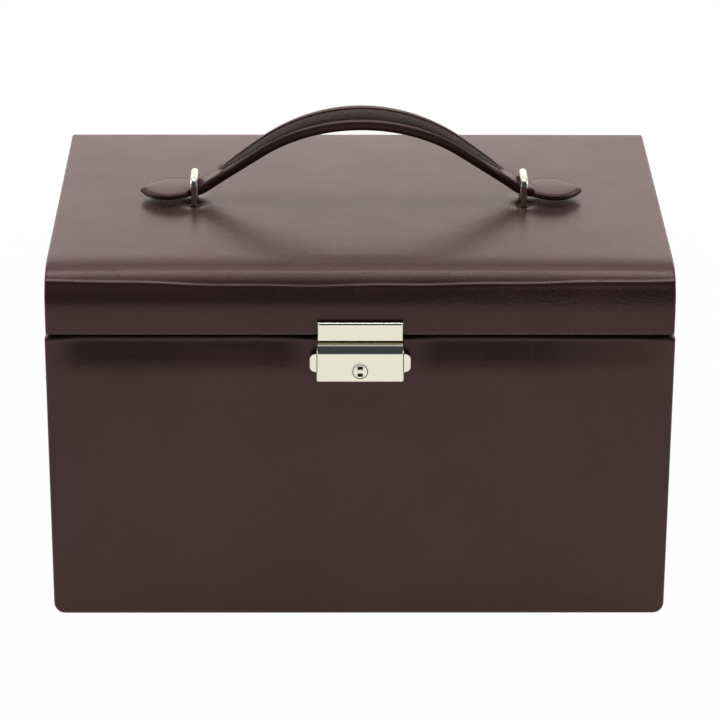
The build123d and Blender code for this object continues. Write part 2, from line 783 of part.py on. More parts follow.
# Key plug: a disc with two square sockets, a cam and a shaft into the back plate
with BuildPart() as key_plug:
    plug_front = cover_front - plug_proud
    plug_rear = plug_front + plug_length
    rod_along_y(0, key_z, plug_radius, plug_front, plug_rear)
    rod_along_y(0, key_z, plug_shaft_radius, plug_rear, back_plate_rear)
    slab(-plug_cam_width / 2, plug_cam_width / 2, plug_rear, plug_rear + plug_cam_thickness,
         key_z, key_z + plug_cam_reach)
    for side in (-1, 1):
        z = key_z + side * (socket_bridge + socket_height) / 2
        slab(-socket_width / 2, socket_width / 2, plug_front, plug_front + socket_depth,
             z - socket_height / 2, z + socket_height / 2, mode=Mode.SUBTRACT)
save(key_plug, "key_plug")

# Catches: bell cranks with a jaw at the top that grips the side of the tongue
jaw_low = tongue_bottom + jaw_above_tongue_end
jaw_face = tongue_half_width + jaw_clearance
catch_bar_inner = jaw_face + jaw_reach
catch_bar_outer = catch_bar_inner + catch_bar_width
for side, name in ((-1, "left"), (1, "right")):
    pivot_x = side * catch_pivot_from_centre
    bar = sorted((side * catch_bar_inner, side * catch_bar_outer))
    jaw = sorted((side * jaw_face, side * catch_bar_outer))
    arm = sorted((pivot_x, pivot_x + side * catch_arm_reach))
    with BuildPart() as catch:
        rod_along_y(pivot_x, pivot_z, catch_hub_radius, tongue_front, tongue_rear)
        slab(bar[0], bar[1], tongue_front, tongue_rear, pivot_z, jaw_low + jaw_height)
        slab(jaw[0], jaw[1], tongue_front, tongue_rear, jaw_low, jaw_low + jaw_height)
        slab(arm[0], arm[1], tongue_front, tongue_rear, pivot_z - catch_arm_height / 2,
             pivot_z + catch_arm_height / 2)
        rod_along_y(pivot_x, pivot_z, catch_pin_radius + catch_running_clearance,
                    tongue_front, tongue_rear, mode=Mode.SUBTRACT)
    save(catch, f"catch_{name}")

with BuildPart() as catch_pins:
    for x in (-catch_pivot_from_centre, catch_pivot_from_centre):
        head_rear = tongue_front - catch_pin_gap
        rod_along_y(x, pivot_z, catch_pin_radius, head_rear, back_plate_front)
        rod_along_y(x, pivot_z, catch_pin_head_radius, head_rear - catch_pin_head, head_rear)
save(catch_pins, "catch_pins")

# Hasp: bevelled plate on the lid front with a boss through the leather and a tongue
hasp_low = lid_bottom - hasp_below_seam
hasp_high = hasp_low + hasp_height
boss_low = lid_bottom + hasp_boss_above_seam
boss_high = boss_low + hasp_boss_height
with BuildPart() as hasp_plate:
    slab(-hasp_width / 2, hasp_width / 2, front - hasp_thickness, front, hasp_low, hasp_high)
    fillet(hasp_plate.faces().sort_by(Axis.Y)[0].edges(), hasp_edge_radius)
    slab(-tongue_half_width, tongue_half_width, front, tongue_rear, boss_low, boss_high)
    slab(-tongue_half_width, tongue_half_width, tongue_front, tongue_rear,
         tongue_bottom, boss_low)
    chamfer(hasp_plate.faces().sort_by(Axis.Z)[0].edges(), tongue_lead_in)
save(hasp_plate, "hasp_plate")

with BuildPart() as hasp_rivets:
    for x in (-hasp_rivet_from_centre, hasp_rivet_from_centre):
        z = (boss_low + boss_high) / 2
        rod_along_y(x, z, hasp_rivet_radius, front, board_front_inside)
        rod_along_y(x, z, hasp_rivet_head_radius, board_front_inside - hasp_rivet_head,
                    board_front_inside)
save(hasp_rivets, "hasp_rivets")


# Loops for the handle, with legs clinched under the top board
def handle_loop(x):
    """Half round staple that stands across the handle, narrower towards its feet."""
    leg_y = (loop_span - loop_thickness) / 2
    top_z = lid_top + loop_height
    crown_z = top_z - loop_thickness / 2
    bend_z = top_z - loop_outer_radius
    leg_low = lid_board_bottom - clinch_plate_thickness - loop_leg_peen
    with BuildPart() as loop:
        with BuildLine(Plane.YZ.offset(x)):
            FilletPolyline((-leg_y, lid_top), (-leg_y, crown_z), (leg_y, crown_z),
                           (leg_y, lid_top), radius=loop_outer_radius - loop_thickness / 2)
        with BuildSketch(Plane.XY.offset(lid_top)) as section:
            with Locations((x, -leg_y)):
                Rectangle(loop_width, loop_thickness)
            fillet(section.vertices().group_by(Axis.Y)[0], loop_round)
        sweep()
        with BuildSketch(Plane.XZ):
            Polygon((x - loop_foot_width / 2, lid_top), (x + loop_foot_width / 2, lid_top),
                    (x + loop_width / 2, bend_z), (x + loop_width / 2, top_z),
                    (x - loop_width / 2, top_z), (x - loop_width / 2, bend_z), align=None)
        extrude(amount=loop_span, both=True, mode=Mode.INTERSECT)
        for y in (-leg_y, leg_y):
            rod_along_z(x, y, loop_leg_radius, leg_low, lid_top + loop_thickness)
    return loop.part


with BuildPart() as handle_loops:
    for x in (-loop_x, loop_x):
        add(handle_loop(x))
save(handle_loops, "handle_loops")

loop_leg_y = (loop_span - loop_thickness) / 2
with BuildPart() as loop_collars:
    for x in (-loop_x, loop_x):
        for y in (-loop_leg_y, loop_leg_y):
            slab(x - collar_length / 2, x + collar_length / 2, y - collar_width / 2,
                 y + collar_width / 2, lid_top, lid_top + collar_thickness)
    fillet(loop_collars.edges().filter_by(Axis.Z), collar_width / 3)
    add(handle_loops.part, mode=Mode.SUBTRACT)
save(loop_collars, "loop_collars")

with BuildPart() as clinch_plates:
    for x in (-loop_x, loop_x):
        slab(x - clinch_plate_width / 2, x + clinch_plate_width / 2, -clinch_plate_length / 2,
             clinch_plate_length / 2, lid_board_bottom - clinch_plate_thickness,
             lid_board_bottom)
    add(handle_loops.part, mode=Mode.SUBTRACT)
save(clinch_plates, "clinch_plates")


# Carcass of the lid
def lid_block(half_length, y_low, y_high, z_low, z_high, front_radius, rear_radius):
    """Solid with the lid's side outline: large front top edge, small rear top edge."""
    with BuildPart() as block:
        slab(-half_length, half_length, y_low, y_high, z_low, z_high)
        fillet(block.edges().filter_by(Axis.X).group_by(Axis.Z)[-1].sort_by(Axis.Y)[0],
               front_radius)
        fillet(block.edges().filter_by(Axis.X).group_by(Axis.Z)[-1].sort_by(Axis.Y)[-1],
               rear_radius)
    return block.part


lid_outline = lid_block(lid_half_width, front, rear, lid_bottom, lid_top,
                        lid_front_radius, lid_rear_radius)
lid_core = lid_block(lid_board_side, front + leather, board_rear, lid_rail_bottom,
                     lid_core_top, lid_front_radius - leather, lid_rear_radius - leather)
lid_wood = lid_block(lid_board_side, board_front, board_rear, lid_rail_bottom,
                     lid_wood_top, lid_front_radius - leather - front_padding,
                     lid_rear_radius - leather)

with BuildPart() as lid_top_board:
    add(lid_wood)
    slab(-half_width, half_width, front, rear, lid_board_bottom, lid_top, mode=Mode.INTERSECT)
    add(handle_loops.part, mode=Mode.SUBTRACT)
save(lid_top_board, "lid_top_board")

with BuildPart() as lid_front_rail:
    add(lid_wood)
    slab(-half_width, half_width, board_front, board_front_inside, lid_bottom,
         lid_board_bottom, mode=Mode.INTERSECT)
    add(hasp_rivets.part, mode=Mode.SUBTRACT)
save(lid_front_rail, "lid_front_rail")

with BuildPart() as lid_rear_rail:
    add(lid_wood)
    slab(-half_width, half_width, board_rear_inside, board_rear, lid_bottom,
         lid_board_bottom, mode=Mode.INTERSECT)
    add(hinge_lid_screws.part, mode=Mode.SUBTRACT)
save(lid_rear_rail, "lid_rear_rail")

with BuildPart() as lid_side_rails:
    for low, high in ((-lid_board_side, -lid_board_side_inside), (lid_board_side_inside, lid_board_side)):
        slab(low, high, board_front_inside, board_rear_inside, lid_rail_bottom, lid_board_bottom)
save(lid_side_rails, "lid_side_rails")

# Foam between the boards and the leather, over the top and down the front
with BuildPart() as lid_padding:
    add(lid_core)
    add(lid_wood, mode=Mode.SUBTRACT)
    add(handle_loops.part, mode=Mode.SUBTRACT)
    add(hasp_plate.part, mode=Mode.SUBTRACT)
    add(hasp_rivets.part, mode=Mode.SUBTRACT)
save(lid_padding, "lid_padding")

# Leather over the lid, and its two end panels
with BuildPart() as lid_leather:
    add(lid_outline)
    add(lid_core, mode=Mode.SUBTRACT)
    slab(-lid_board_side, lid_board_side, front, rear, lid_bottom, lid_top,
         mode=Mode.INTERSECT)
    slab(-lid_board_side, lid_board_side, board_front_inside, board_rear_inside,
         lid_bottom, lid_rail_bottom, mode=Mode.SUBTRACT)
    slab(-hinge_half_length, hinge_half_length, rear - hinge_leaf_width, rear,
         lid_bottom, lid_leaf_high, mode=Mode.SUBTRACT)
    add(hinge_lid_screws.part, mode=Mode.SUBTRACT)
    add(handle_loops.part, mode=Mode.SUBTRACT)
    add(hasp_plate.part, mode=Mode.SUBTRACT)
    add(hasp_rivets.part, mode=Mode.SUBTRACT)
save(lid_leather, "lid_leather")

for side, name, outermost in ((-1, "left", 0), (1, "right", -1)):
    skin = sorted((side * lid_board_side, side * lid_half_width))
    turned = sorted((side * lid_board_side_inside, side * lid_board_side))
    with BuildPart() as lid_end_leather:
        add(lid_outline)
        slab(skin[0], skin[1], front, rear, lid_bottom, lid_top, mode=Mode.INTERSECT)
        fillet(lid_end_leather.faces().sort_by(Axis.X)[outermost].edges(), lid_end_radius)
        slab(turned[0], turned[1], board_front_inside, board_rear_inside,
             lid_bottom, lid_rail_bottom)
    save(lid_end_leather, f"lid_{name}_leather")

# Lining and mirror of the lid
with BuildPart() as lid_wall_linings:
    for low, high in ((board_front_inside, inner_front), (inner_rear, board_rear_inside)):
        slab(-lid_board_side_inside, lid_board_side_inside, low, high,
             lid_lining_bottom, lid_board_bottom)
    for low, high in ((-lid_board_side_inside, -lid_inner_side), (lid_inner_side, lid_board_side_inside)):
        slab(low, high, inner_front, inner_rear, lid_lining_bottom, lid_board_bottom)
save(lid_wall_linings, "lid_wall_linings")

with BuildPart() as lid_lining_panel:
    slab(-lid_inner_side, lid_inner_side, inner_front, inner_rear,
         lid_panel_bottom, lid_panel_top)
save(lid_lining_panel, "lid_lining_panel")

mirror_y = (inner_front + inner_rear) / 2
mirror_bottom = lid_panel_bottom - mirror_thickness
with BuildPart() as lid_mirror:
    slab(-mirror_width / 2, mirror_width / 2, mirror_y - mirror_depth / 2,
         mirror_y + mirror_depth / 2, mirror_bottom, lid_panel_bottom)
save(lid_mirror, "lid_mirror")

with BuildPart() as mirror_frame:
    slab(-mirror_width / 2 - mirror_rim, mirror_width / 2 + mirror_rim,
         mirror_y - mirror_depth / 2 - mirror_rim, mirror_y + mirror_depth / 2 + mirror_rim,
         mirror_bottom - mirror_lip, lid_panel_bottom)
    fillet(mirror_frame.edges().filter_by(Axis.Z), mirror_rim)
    add(lid_mirror.part, mode=Mode.SUBTRACT)
    slab(mirror_lap - mirror_width / 2, mirror_width / 2 - mirror_lap,
         mirror_y - mirror_depth / 2 + mirror_lap, mirror_y + mirror_depth / 2 - mirror_lap,
         mirror_bottom - mirror_lip, mirror_bottom, mode=Mode.SUBTRACT)
save(mirror_frame, "mirror_frame")


# Handle: two leather straps over a thin core, with an inlay let into the upper one
def arc_middle(offset):
    """Height over its centre line that a layer's face reaches in the middle of the arc."""
    swell = handle_swell_up if offset > 0 else handle_swell_down
    return offset + swell * offset / strap_half


def strap_outline(inset):
    """Seen from above: broad in the middle, narrow necks and a pointed leaf at each end."""
    neck_x = loop_x - handle_neck_inboard
    neck = handle_neck_width / 2 - inset
    middle = handle_middle_width / 2 - inset
    shoulder = (shoulder_x + leaf_shoulder, leaf_shoulder_width / 2 - inset)
    swell = (tip_x - leaf_swell_from_tip, leaf_width / 2 - inset)
    flank = (tip_x - leaf_flank_from_tip, leaf_flank_width / 2 - inset)
    end_x = tip_x - inset
    point = (end_x - leaf_tip_rounding, leaf_tip_width / 2)
    with BuildSketch() as outline:
        with BuildLine():
            for up in (-1, 1):
                ThreePointArc((-neck_x, up * neck), (0, up * middle), (neck_x, up * neck))
                for side in (-1, 1):
                    Polyline((side * neck_x, up * neck), (side * (shoulder_x + inset), up * neck),
                             (side * shoulder[0], up * shoulder[1]))
                    ThreePointArc((side * shoulder[0], up * shoulder[1]),
                                  (side * swell[0], up * swell[1]), (side * flank[0], up * flank[1]))
                    Line((side * flank[0], up * flank[1]), (side * point[0], up * point[1]))
            for side in (-1, 1):
                ThreePointArc((side * point[0], -point[1]), (side * end_x, 0),
                              (side * point[0], point[1]))
        make_face()
    return outline.sketch


def strap_layer(low, high, inset):
    """Layer of the strap between two offsets from its centre line, inset from its edge."""
    past_tip = tip_x + leaf_tip_rounding
    with BuildPart() as layer:
        with BuildSketch(Plane.XZ):
            with BuildLine():
                for offset in (low, high):
                    arc = handle_arc_radius + offset
                    bend = handle_bend_radius - offset
                    arc_end = (arc * sin(slope), arc_centre_z + arc * cos(slope))
                    crown = arc_centre_z + handle_arc_radius + arc_middle(offset)
                    ThreePointArc((-arc_end[0], arc_end[1]), (0, crown), arc_end)
                    for side in (-1, 1):
                        start = (side * (bend_end_x - bend * sin(slope)),
                                 bend_centre_z - bend * cos(slope))
                        middle = (side * (bend_end_x - bend * sin(slope / 2)),
                                  bend_centre_z - bend * cos(slope / 2))
                        finish = (side * bend_end_x, bend_centre_z - bend)
                        Line((side * arc_end[0], arc_end[1]), start)
                        ThreePointArc(start, middle, finish)
                        Line(finish, (side * past_tip, bend_centre_z - bend))
                for side in (-1, 1):
                    Line((side * past_tip, bend_centre_z - handle_bend_radius + low),
                         (side * past_tip, bend_centre_z - handle_bend_radius + high))
            make_face()
        extrude(amount=leaf_width, both=True)
        with BuildSketch(Plane.XY.offset(lid_top)):
            add(strap_outline(inset))
        extrude(amount=handle_rise + handle_bend_radius, mode=Mode.INTERSECT)
    return layer.part.moved(Location((handle_shift, 0, 0)))


def lens_column(inset):
    """Upright column with the pointed outline of the inlay."""
    half_length = inlay_half_length - inset
    half_inlay = inlay_width / 2 - inset
    with BuildPart() as column:
        with BuildSketch(Plane.XY.offset(lid_top)):
            with BuildLine():
                for up in (-1, 1):
                    ThreePointArc((-half_length, 0), (0, up * half_inlay), (half_length, 0))
            make_face()
        extrude(amount=handle_rise + handle_bend_radius)
    return column.part.moved(Location((handle_shift, 0, 0)))


core_low = lower_strap_thickness - strap_half
core_high = core_low + handle_core_thickness
with BuildPart() as handle_lower_strap:
    add(strap_layer(-strap_half, core_low, 0))
save(handle_lower_strap, "handle_lower_strap")

with BuildPart() as handle_core:
    add(strap_layer(core_low, core_high, handle_core_inset))
save(handle_core, "handle_core")

with BuildPart() as handle_upper_strap:
    add(strap_layer(core_high, strap_half, 0))
    add(lens_column(0), mode=Mode.SUBTRACT)
save(handle_upper_strap, "handle_upper_strap")

with BuildPart() as handle_inlay:
    add(strap_layer(core_high, strap_half - inlay_recess, 0))
    add(lens_column(inlay_clearance), mode=Mode.INTERSECT)
save(handle_inlay, "handle_inlay")
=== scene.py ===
import json
from math import cos, exp, pi, radians, sin, sqrt

import bmesh
import bpy
from mathutils import Matrix, Vector


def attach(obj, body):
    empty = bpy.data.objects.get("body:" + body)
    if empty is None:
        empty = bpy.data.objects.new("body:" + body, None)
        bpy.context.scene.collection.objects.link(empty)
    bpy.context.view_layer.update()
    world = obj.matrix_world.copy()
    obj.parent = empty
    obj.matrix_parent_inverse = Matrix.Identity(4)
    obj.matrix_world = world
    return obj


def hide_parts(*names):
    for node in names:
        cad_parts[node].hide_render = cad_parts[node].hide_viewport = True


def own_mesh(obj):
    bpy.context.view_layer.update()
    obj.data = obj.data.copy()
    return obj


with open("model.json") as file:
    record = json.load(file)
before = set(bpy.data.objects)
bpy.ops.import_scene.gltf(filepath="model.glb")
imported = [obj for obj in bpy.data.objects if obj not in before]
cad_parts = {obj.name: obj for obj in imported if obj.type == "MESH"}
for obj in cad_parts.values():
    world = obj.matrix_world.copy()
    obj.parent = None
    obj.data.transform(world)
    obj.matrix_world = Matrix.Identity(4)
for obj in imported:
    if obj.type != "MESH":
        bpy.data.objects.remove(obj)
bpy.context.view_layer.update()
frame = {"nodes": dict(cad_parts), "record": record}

nodes = frame["nodes"]

# Sizes in metres, in the frame of the solid model
mm = 0.001
half_width = 132.5 * mm
front = -87.0 * mm
rear = 87.0 * mm
base_top = 130.5 * mm
lid_low = 131.7 * mm
lid_high = 159.2 * mm
lid_half_width = 132.0 * mm
board_front_inside = -78.3 * mm
board_rear_inside = 80.8 * mm
board_side_inside = 126.3 * mm
lid_side_inside = 125.8 * mm
lid_board_bottom = 151.0 * mm
leather = 1.2 * mm
turn_under = 12.0 * mm

# Pocket for the lock and slot for the hasp's tongue, through the leather of the base
pocket_half_width = 17.65 * mm
pocket_rear = -82.8 * mm
pocket_low = 112.6 * mm
pocket_high = 128.1 * mm
slot_half_width = 6.5 * mm
slot_front = -85.8 * mm
slot_rear = -83.6 * mm

# Shape of the leather on the base
corner_radius = 1.2 * mm
bottom_side_radius = 5.0 * mm
rim_radius = 1.1 * mm
roll_start = 112.0 * mm
roll_reach = 8.0 * mm
roll_slope = 0.17
roll_end = 128.5 * mm
roll_taper = 16.0 * mm
roll_full_x = 62.0 * mm
roll_ease_reach = 48.0 * mm
roll_eased = 0.45
lock_press_half = 20.0 * mm
lock_press_fade = 14.0 * mm
lock_press_share = 0.35

# Shape of the leather on the lid. Each crease along its front edge has its depth in millimetres
# below the top, at the left end and after its run, and how far it stands out
lid_front_reach = 24.0 * mm
lid_front_drop = 20.0 * mm
lid_front_power = 3.1
lid_rim_radius = 1.0 * mm
lid_rear_radius = 2.5 * mm
lid_end_radius = 1.0 * mm
lid_crown = 1.2 * mm
crown_power_along = 4
crown_power_across = 3
ridge_height = 0.16 * mm
ridge_spread = 0.55 * mm
ridge_run = 75 * mm
ridge_return_x = 20 * mm
ridge_return = 0.8
ridge_lines = ((1.7, 1.9, 0.5), (4.7, 6.3, 2.2), (1.2, 0.9, 0.25))
long_wander = 0.22 * mm
long_wander_reach = 17 * mm
short_wander = 0.12 * mm
short_wander_reach = 7.3 * mm
short_wander_phase = 1.0
crinkle_size = 0.8 * mm
crinkle_height = 0.4 * mm
crinkle_fades = (("X", -20 * mm, 60 * mm), ("Y", -72 * mm, -79 * mm), ("Z", 141 * mm, 151 * mm),
                 ("Z", 153.6 * mm, 151.6 * mm))
loop_x = 72.2 * mm
loop_leg_y = 7.7 * mm
dimple_radius = 8.0 * mm

# Handle, with heights over the lid
handle_shift = 1.0 * mm
arc_radius = 76.0 * mm
arc_apex = 38.6 * mm
strap_slope = radians(35.0)
bend_radius = 14.0 * mm
bend_end_x = 75.81 * mm
leaf_height = 5.4 * mm
leaf_droop = 1.0 * mm
shoulder_x = 74.8 * mm
shoulder_length = 1.2 * mm
tip_x = 96.8 * mm
leaf_swell_x = 83.8 * mm
leaf_inner_length = 16.0 * mm
leaf_half_width = 11.5 * mm
neck_half_width = 5.7 * mm
neck_x = 64.2 * mm
middle_half_width = 9.0 * mm
leaf_power = 0.9
thinnest_half_width = 0.25 * mm
slim_width = 3.0 * mm
slim_share = 0.4
leaf_floor_lift = 0.5 * mm
strap_half_thickness = 2.0 * mm
swell_up = 0.7 * mm
swell_down = 1.2 * mm
inlay_half_length = 61.0 * mm
inlay_recess = 0.9 * mm
inlay_fullness = 8.0
inlay_end_power = 0.6
inlay_gap = 0.1 * mm
inlay_bed = 0.15 * mm
inlay_bed_share = 0.9
inlay_bed_fall = 0.3
inlay_fall = 0.2 * mm
inlay_tuck = 0.7 * mm
inlay_tuck_power = 8
inlay_shift = 0.8 * mm
inlay_fade = 2.0 * mm
rim_width = 3.3 * mm
rim_narrowing = 2.1 * mm
groove_depth = 0.35 * mm
groove_from_edge = 1.5 * mm
groove_from_inlay = 0.7 * mm
groove_inmost_share = 0.4
groove_gap_share = 0.1
groove_lip_share = 0.02
flat_top_share = 0.25
side_top_share = 0.45
side_low_share = 0.55
side_power = 0.8
far_edge_round = 1.1 * mm
near_edge_round = 2.6 * mm
near_rim_drop = 2.0 * mm
near_rim_height = 1.7 * mm
leaf_edge_top = 1.4 * mm
leaf_edge_low = 1.0 * mm

# Edges of the stiff pieces
covered_edge = 0.6 * mm
metal_edge = 0.12 * mm

# Meshes: steps along each stretch; a face with cap_corners or more is the flat end of a loft
cap_corners = 20
smooth_angle = radians(35)
cushion_smooth_angle = radians(60)
front_steps = 100
side_steps = 16
rear_steps = 24
corner_steps = 4
bottom_levels = 9
wall_levels = 10
roll_levels = 16
upper_levels = 3
rim_levels = 6
lid_steps = 120
lid_end_steps = 5
lid_wall_steps = 4
lid_edge_steps = 140
lid_top_steps = 50
lid_rear_arc_steps = 7
lid_rear_steps = 6
lid_bottom_steps = 20
arc_steps = 22
straight_steps = 12
bend_steps = 24
leaf_steps = 24
inlay_steps = 18
inlay_floor_every = 6
floor_steps = 8
cushion_step = 9 * mm
cushion_segments = 4
cushion_power = 4
roundest_share = 0.48
tuck_limit = 0.2

# Procedural patterns: scales in repeats per metre, heights and strengths of their bumps
pores_per_cell = 3
blotch_scale = 22
gloss_scale = 60
gloss_below = 0.05
gloss_above = 0.06
cell_strength = 0.5
pore_strength = 0.4
wave_scale = 45
wave_strength = 0.35
wave_height = 0.25 * mm
cloth_roughness = 0.9
cloth_patch_scale = 55
pile_scale = 2600
pile_strength = 0.6
pile_height = 0.15 * mm
sheen_weight = 0.45
sheen_roughness = 0.4
polish_scale = 160
scratch_scale = 900
scratch_strength = 0.12
scratch_height = 0.01 * mm
wood_roughness = 0.6
wood_scale = 160
wood_stretch = (0.06, 1, 1)
wood_strength = 0.3
wood_height = 0.1 * mm
# Painted shade in the crevices of the nickel: the ambient occlusion levels between which it fades, and
# how far it looks
crevice_shade_from = 0.45
crevice_shade_until = 0.8
crevice_shade_reach = 0.9 * mm

# Studio, in metres; places on the ramp run from 0 in front to 1 behind
floor_size = 4.0
floor_front = -0.75
floor_white = 0.975
floor_colour = (0.8, 0.8, 0.8)
floor_roughness = 0.9
shadow_reach = 0.35
shadow_end = 1.5 * shadow_reach
room_tones = ((0.22, (0.055, 0.06, 0.075)), (0.40, (0.22, 0.21, 0.22)),
              (0.75, (0.52, 0.49, 0.47)), (0.90, (0.95, 0.88, 0.84)))
lamp_aim = 0.1
rear_lamp_aim = 0.15
white = (1, 1, 1)

# Camera, fitted to the corners of the case in the photo; its place is in millimetres
camera_place = (-12.46, -1370.92, 681.98)
camera_lens = 166.56
camera_sensor = 36.0
camera_pitch = radians(23.62)
camera_turn = radians(0.553)
camera_roll = radians(0.239)


# Mesh helpers
def spaced(start, end, count):
    """Evenly spaced values from start to end, both included."""
    return [start + (end - start) * index / count for index in range(count + 1)]


def smooth_step(value):
    """0 below 0, 1 above 1 and an even slope between."""
    value = min(max(value, 0.0), 1.0)
    return value * value * (3 - 2 * value)


def finish_mesh(name, bm, sharp_angle=smooth_angle):
    """Turns a bmesh into a smooth shaded object; only the flat caps of lofts stay flat."""
    bmesh.ops.recalc_face_normals(bm, faces=bm.faces)
    mesh = bpy.data.meshes.new(name)
    bm.to_mesh(mesh)
    bm.free()
    for face in mesh.polygons:
        face.use_smooth = len(face.vertices) < cap_corners
    mesh.set_sharp_from_angle(angle=sharp_angle)
    piece = bpy.data.objects.new(name, mesh)
    bpy.context.scene.collection.objects.link(piece)
    return piece


def loft(bm, rings):
    """Skins a list of closed rings with quads and caps both ends."""
    rows = [[bm.verts.new(point) for point in ring] for ring in rings]
    for lower, upper in zip(rows, rows[1:]):
        for index in range(len(lower)):
            following = (index + 1) % len(lower)
            bm.faces.new((lower[index], lower[following], upper[following], upper[index]))
    bm.faces.new(list(reversed(rows[0])))
    bm.faces.new(rows[-1])


def cut_box(piece, low, high):
    """Cuts a rectangular hollow out of a piece and keeps the result as its mesh."""
    bm = bmesh.new()
    size = Vector(high) - Vector(low)
    centre = (Vector(high) + Vector(low)) / 2
    bmesh.ops.create_cube(bm, size=1.0, matrix=Matrix.Translation(centre) @ Matrix.Diagonal((*size, 1)))
    cutter = finish_mesh("cutter", bm)
    modifier = piece.modifiers.new("hollow", "BOOLEAN")
    modifier.operation = "DIFFERENCE"
    modifier.solver = "EXACT"
    modifier.object = cutter
    settled = piece.evaluated_get(bpy.context.evaluated_depsgraph_get())
    mesh = bpy.data.meshes.new_from_object(settled)
    piece.modifiers.clear()
    piece.data = mesh
    bpy.data.objects.remove(cutter)


# Materials
def linear(red, green, blue):
    """A colour as seen on screen, 0 to 255, in the shader's linear values (the sRGB curve)."""
    return tuple(((value / 255 + 0.055) / 1.055) ** 2.4 if value > 10 else value / 255 / 12.92
                 for value in (red, green, blue))


def start_material(name, colour, roughness, metallic=0.0):
    """Material with its plain numbers on the shader's own sockets."""
    material = bpy.data.materials.new(name)
    material.use_nodes = True
    shader = material.node_tree.nodes["Principled BSDF"]
    shader.inputs["Base Color"].default_value = (*colour, 1.0)
    shader.inputs["Roughness"].default_value = roughness
    shader.inputs["Metallic"].default_value = metallic
    return material


def shader_of(material):
    """The material's main shader."""
    return material.node_tree.nodes["Principled BSDF"]


def texture(material, kind, scale, stretch=(1, 1, 1), **numbers):
    """Procedural texture on the object's own coordinates."""
    tree = material.node_tree
    place = tree.nodes.new("ShaderNodeTexCoord")
    mapping = tree.nodes.new("ShaderNodeMapping")
    mapping.inputs["Scale"].default_value = stretch
    pattern = tree.nodes.new(kind)
    pattern.inputs["Scale"].default_value = scale
    for socket, value in numbers.items():
        pattern.inputs[socket].default_value = value
    tree.links.new(place.outputs["Object"], mapping.inputs["Vector"])
    tree.links.new(mapping.outputs["Vector"], pattern.inputs["Vector"])
    return pattern


def mottle(material, pattern, first, second, low=0.35, high=0.65):
    """Base colour that drifts between two colours with a pattern."""
    tree = material.node_tree
    ramp = tree.nodes.new("ShaderNodeValToRGB")
    ramp.color_ramp.elements[0].position = low
    ramp.color_ramp.elements[0].color = (*first, 1)
    ramp.color_ramp.elements[1].position = high
    ramp.color_ramp.elements[1].color = (*second, 1)
    tree.links.new(pattern.outputs[0], ramp.inputs["Fac"])
    tree.links.new(ramp.outputs["Color"], shader_of(material).inputs["Base Color"])


def vary_roughness(material, pattern, low, high):
    """Roughness that drifts between two values with a pattern."""
    tree = material.node_tree
    spread = tree.nodes.new("ShaderNodeMapRange")
    spread.inputs["To Min"].default_value = low
    spread.inputs["To Max"].default_value = high
    tree.links.new(pattern.outputs[0], spread.inputs["Value"])
    tree.links.new(spread.outputs["Result"], shader_of(material).inputs["Roughness"])


def bump(material, *layers):
    """Stacked bumps; each layer is a pattern, its strength and its height in metres."""
    tree = material.node_tree
    below = None
    for pattern, strength, height in layers:
        layer = tree.nodes.new("ShaderNodeBump")
        layer.inputs["Strength"].default_value = strength
        layer.inputs["Distance"].default_value = height
        tree.links.new(pattern.outputs[0], layer.inputs["Height"])
        if below:
            tree.links.new(below.outputs["Normal"], layer.inputs["Normal"])
        below = layer
    tree.links.new(below.outputs["Normal"], shader_of(material).inputs["Normal"])


def make_leather(name, first, second, roughness, grain_size, grain_height, gloss_level=0.5,
                 shine=(1.0, 0.66, 0.6)):
    """Smooth finished leather: fine cells, faint hand marks and a drifting, warm gloss."""
    material = start_material(name, first, roughness)
    shader_of(material).inputs["Specular IOR Level"].default_value = gloss_level
    shader_of(material).inputs["Specular Tint"].default_value = (*shine, 1.0)
    broad = texture(material, "ShaderNodeTexNoise", blotch_scale, Detail=3)
    mottle(material, broad, first, second)
    gloss = texture(material, "ShaderNodeTexNoise", gloss_scale, Detail=4)
    vary_roughness(material, gloss, roughness - gloss_below, roughness + gloss_above)
    cells = texture(material, "ShaderNodeTexVoronoi", 1 / grain_size)
    pores = texture(material, "ShaderNodeTexNoise", pores_per_cell / grain_size, Detail=2)
    waves = texture(material, "ShaderNodeTexNoise", wave_scale, Detail=2)
    bump(material, (cells, cell_strength, grain_height), (pores, pore_strength, grain_height),
         (waves, wave_strength, wave_height))
    return material


def add_crinkles(material, size, height, fades):
    """Small crumples that fade in over each (axis, start, end) of the object's places."""
    tree = material.node_tree
    place = tree.nodes.new("ShaderNodeTexCoord")
    axes = tree.nodes.new("ShaderNodeSeparateXYZ")
    tree.links.new(place.outputs["Object"], axes.inputs[0])
    crumple = texture(material, "ShaderNodeTexNoise", 1 / size, Detail=2)
    share = crumple.outputs[0]
    for axis, start, end in fades:
        fade = tree.nodes.new("ShaderNodeMapRange")
        fade.interpolation_type = "SMOOTHSTEP"
        fade.inputs["From Min"].default_value = start
        fade.inputs["From Max"].default_value = end
        tree.links.new(axes.outputs[axis], fade.inputs["Value"])
        part = tree.nodes.new("ShaderNodeMath")
        part.operation = "MULTIPLY"
        tree.links.new(share, part.inputs[0])
        tree.links.new(fade.outputs["Result"], part.inputs[1])
        share = part.outputs[0]
    normal = shader_of(material).inputs["Normal"]
    layer = tree.nodes.new("ShaderNodeBump")
    layer.inputs["Strength"].default_value = 1.0
    layer.inputs["Distance"].default_value = height
    tree.links.new(share, layer.inputs["Height"])
    tree.links.new(normal.links[0].from_socket, layer.inputs["Normal"])
    tree.links.new(layer.outputs["Normal"], normal)


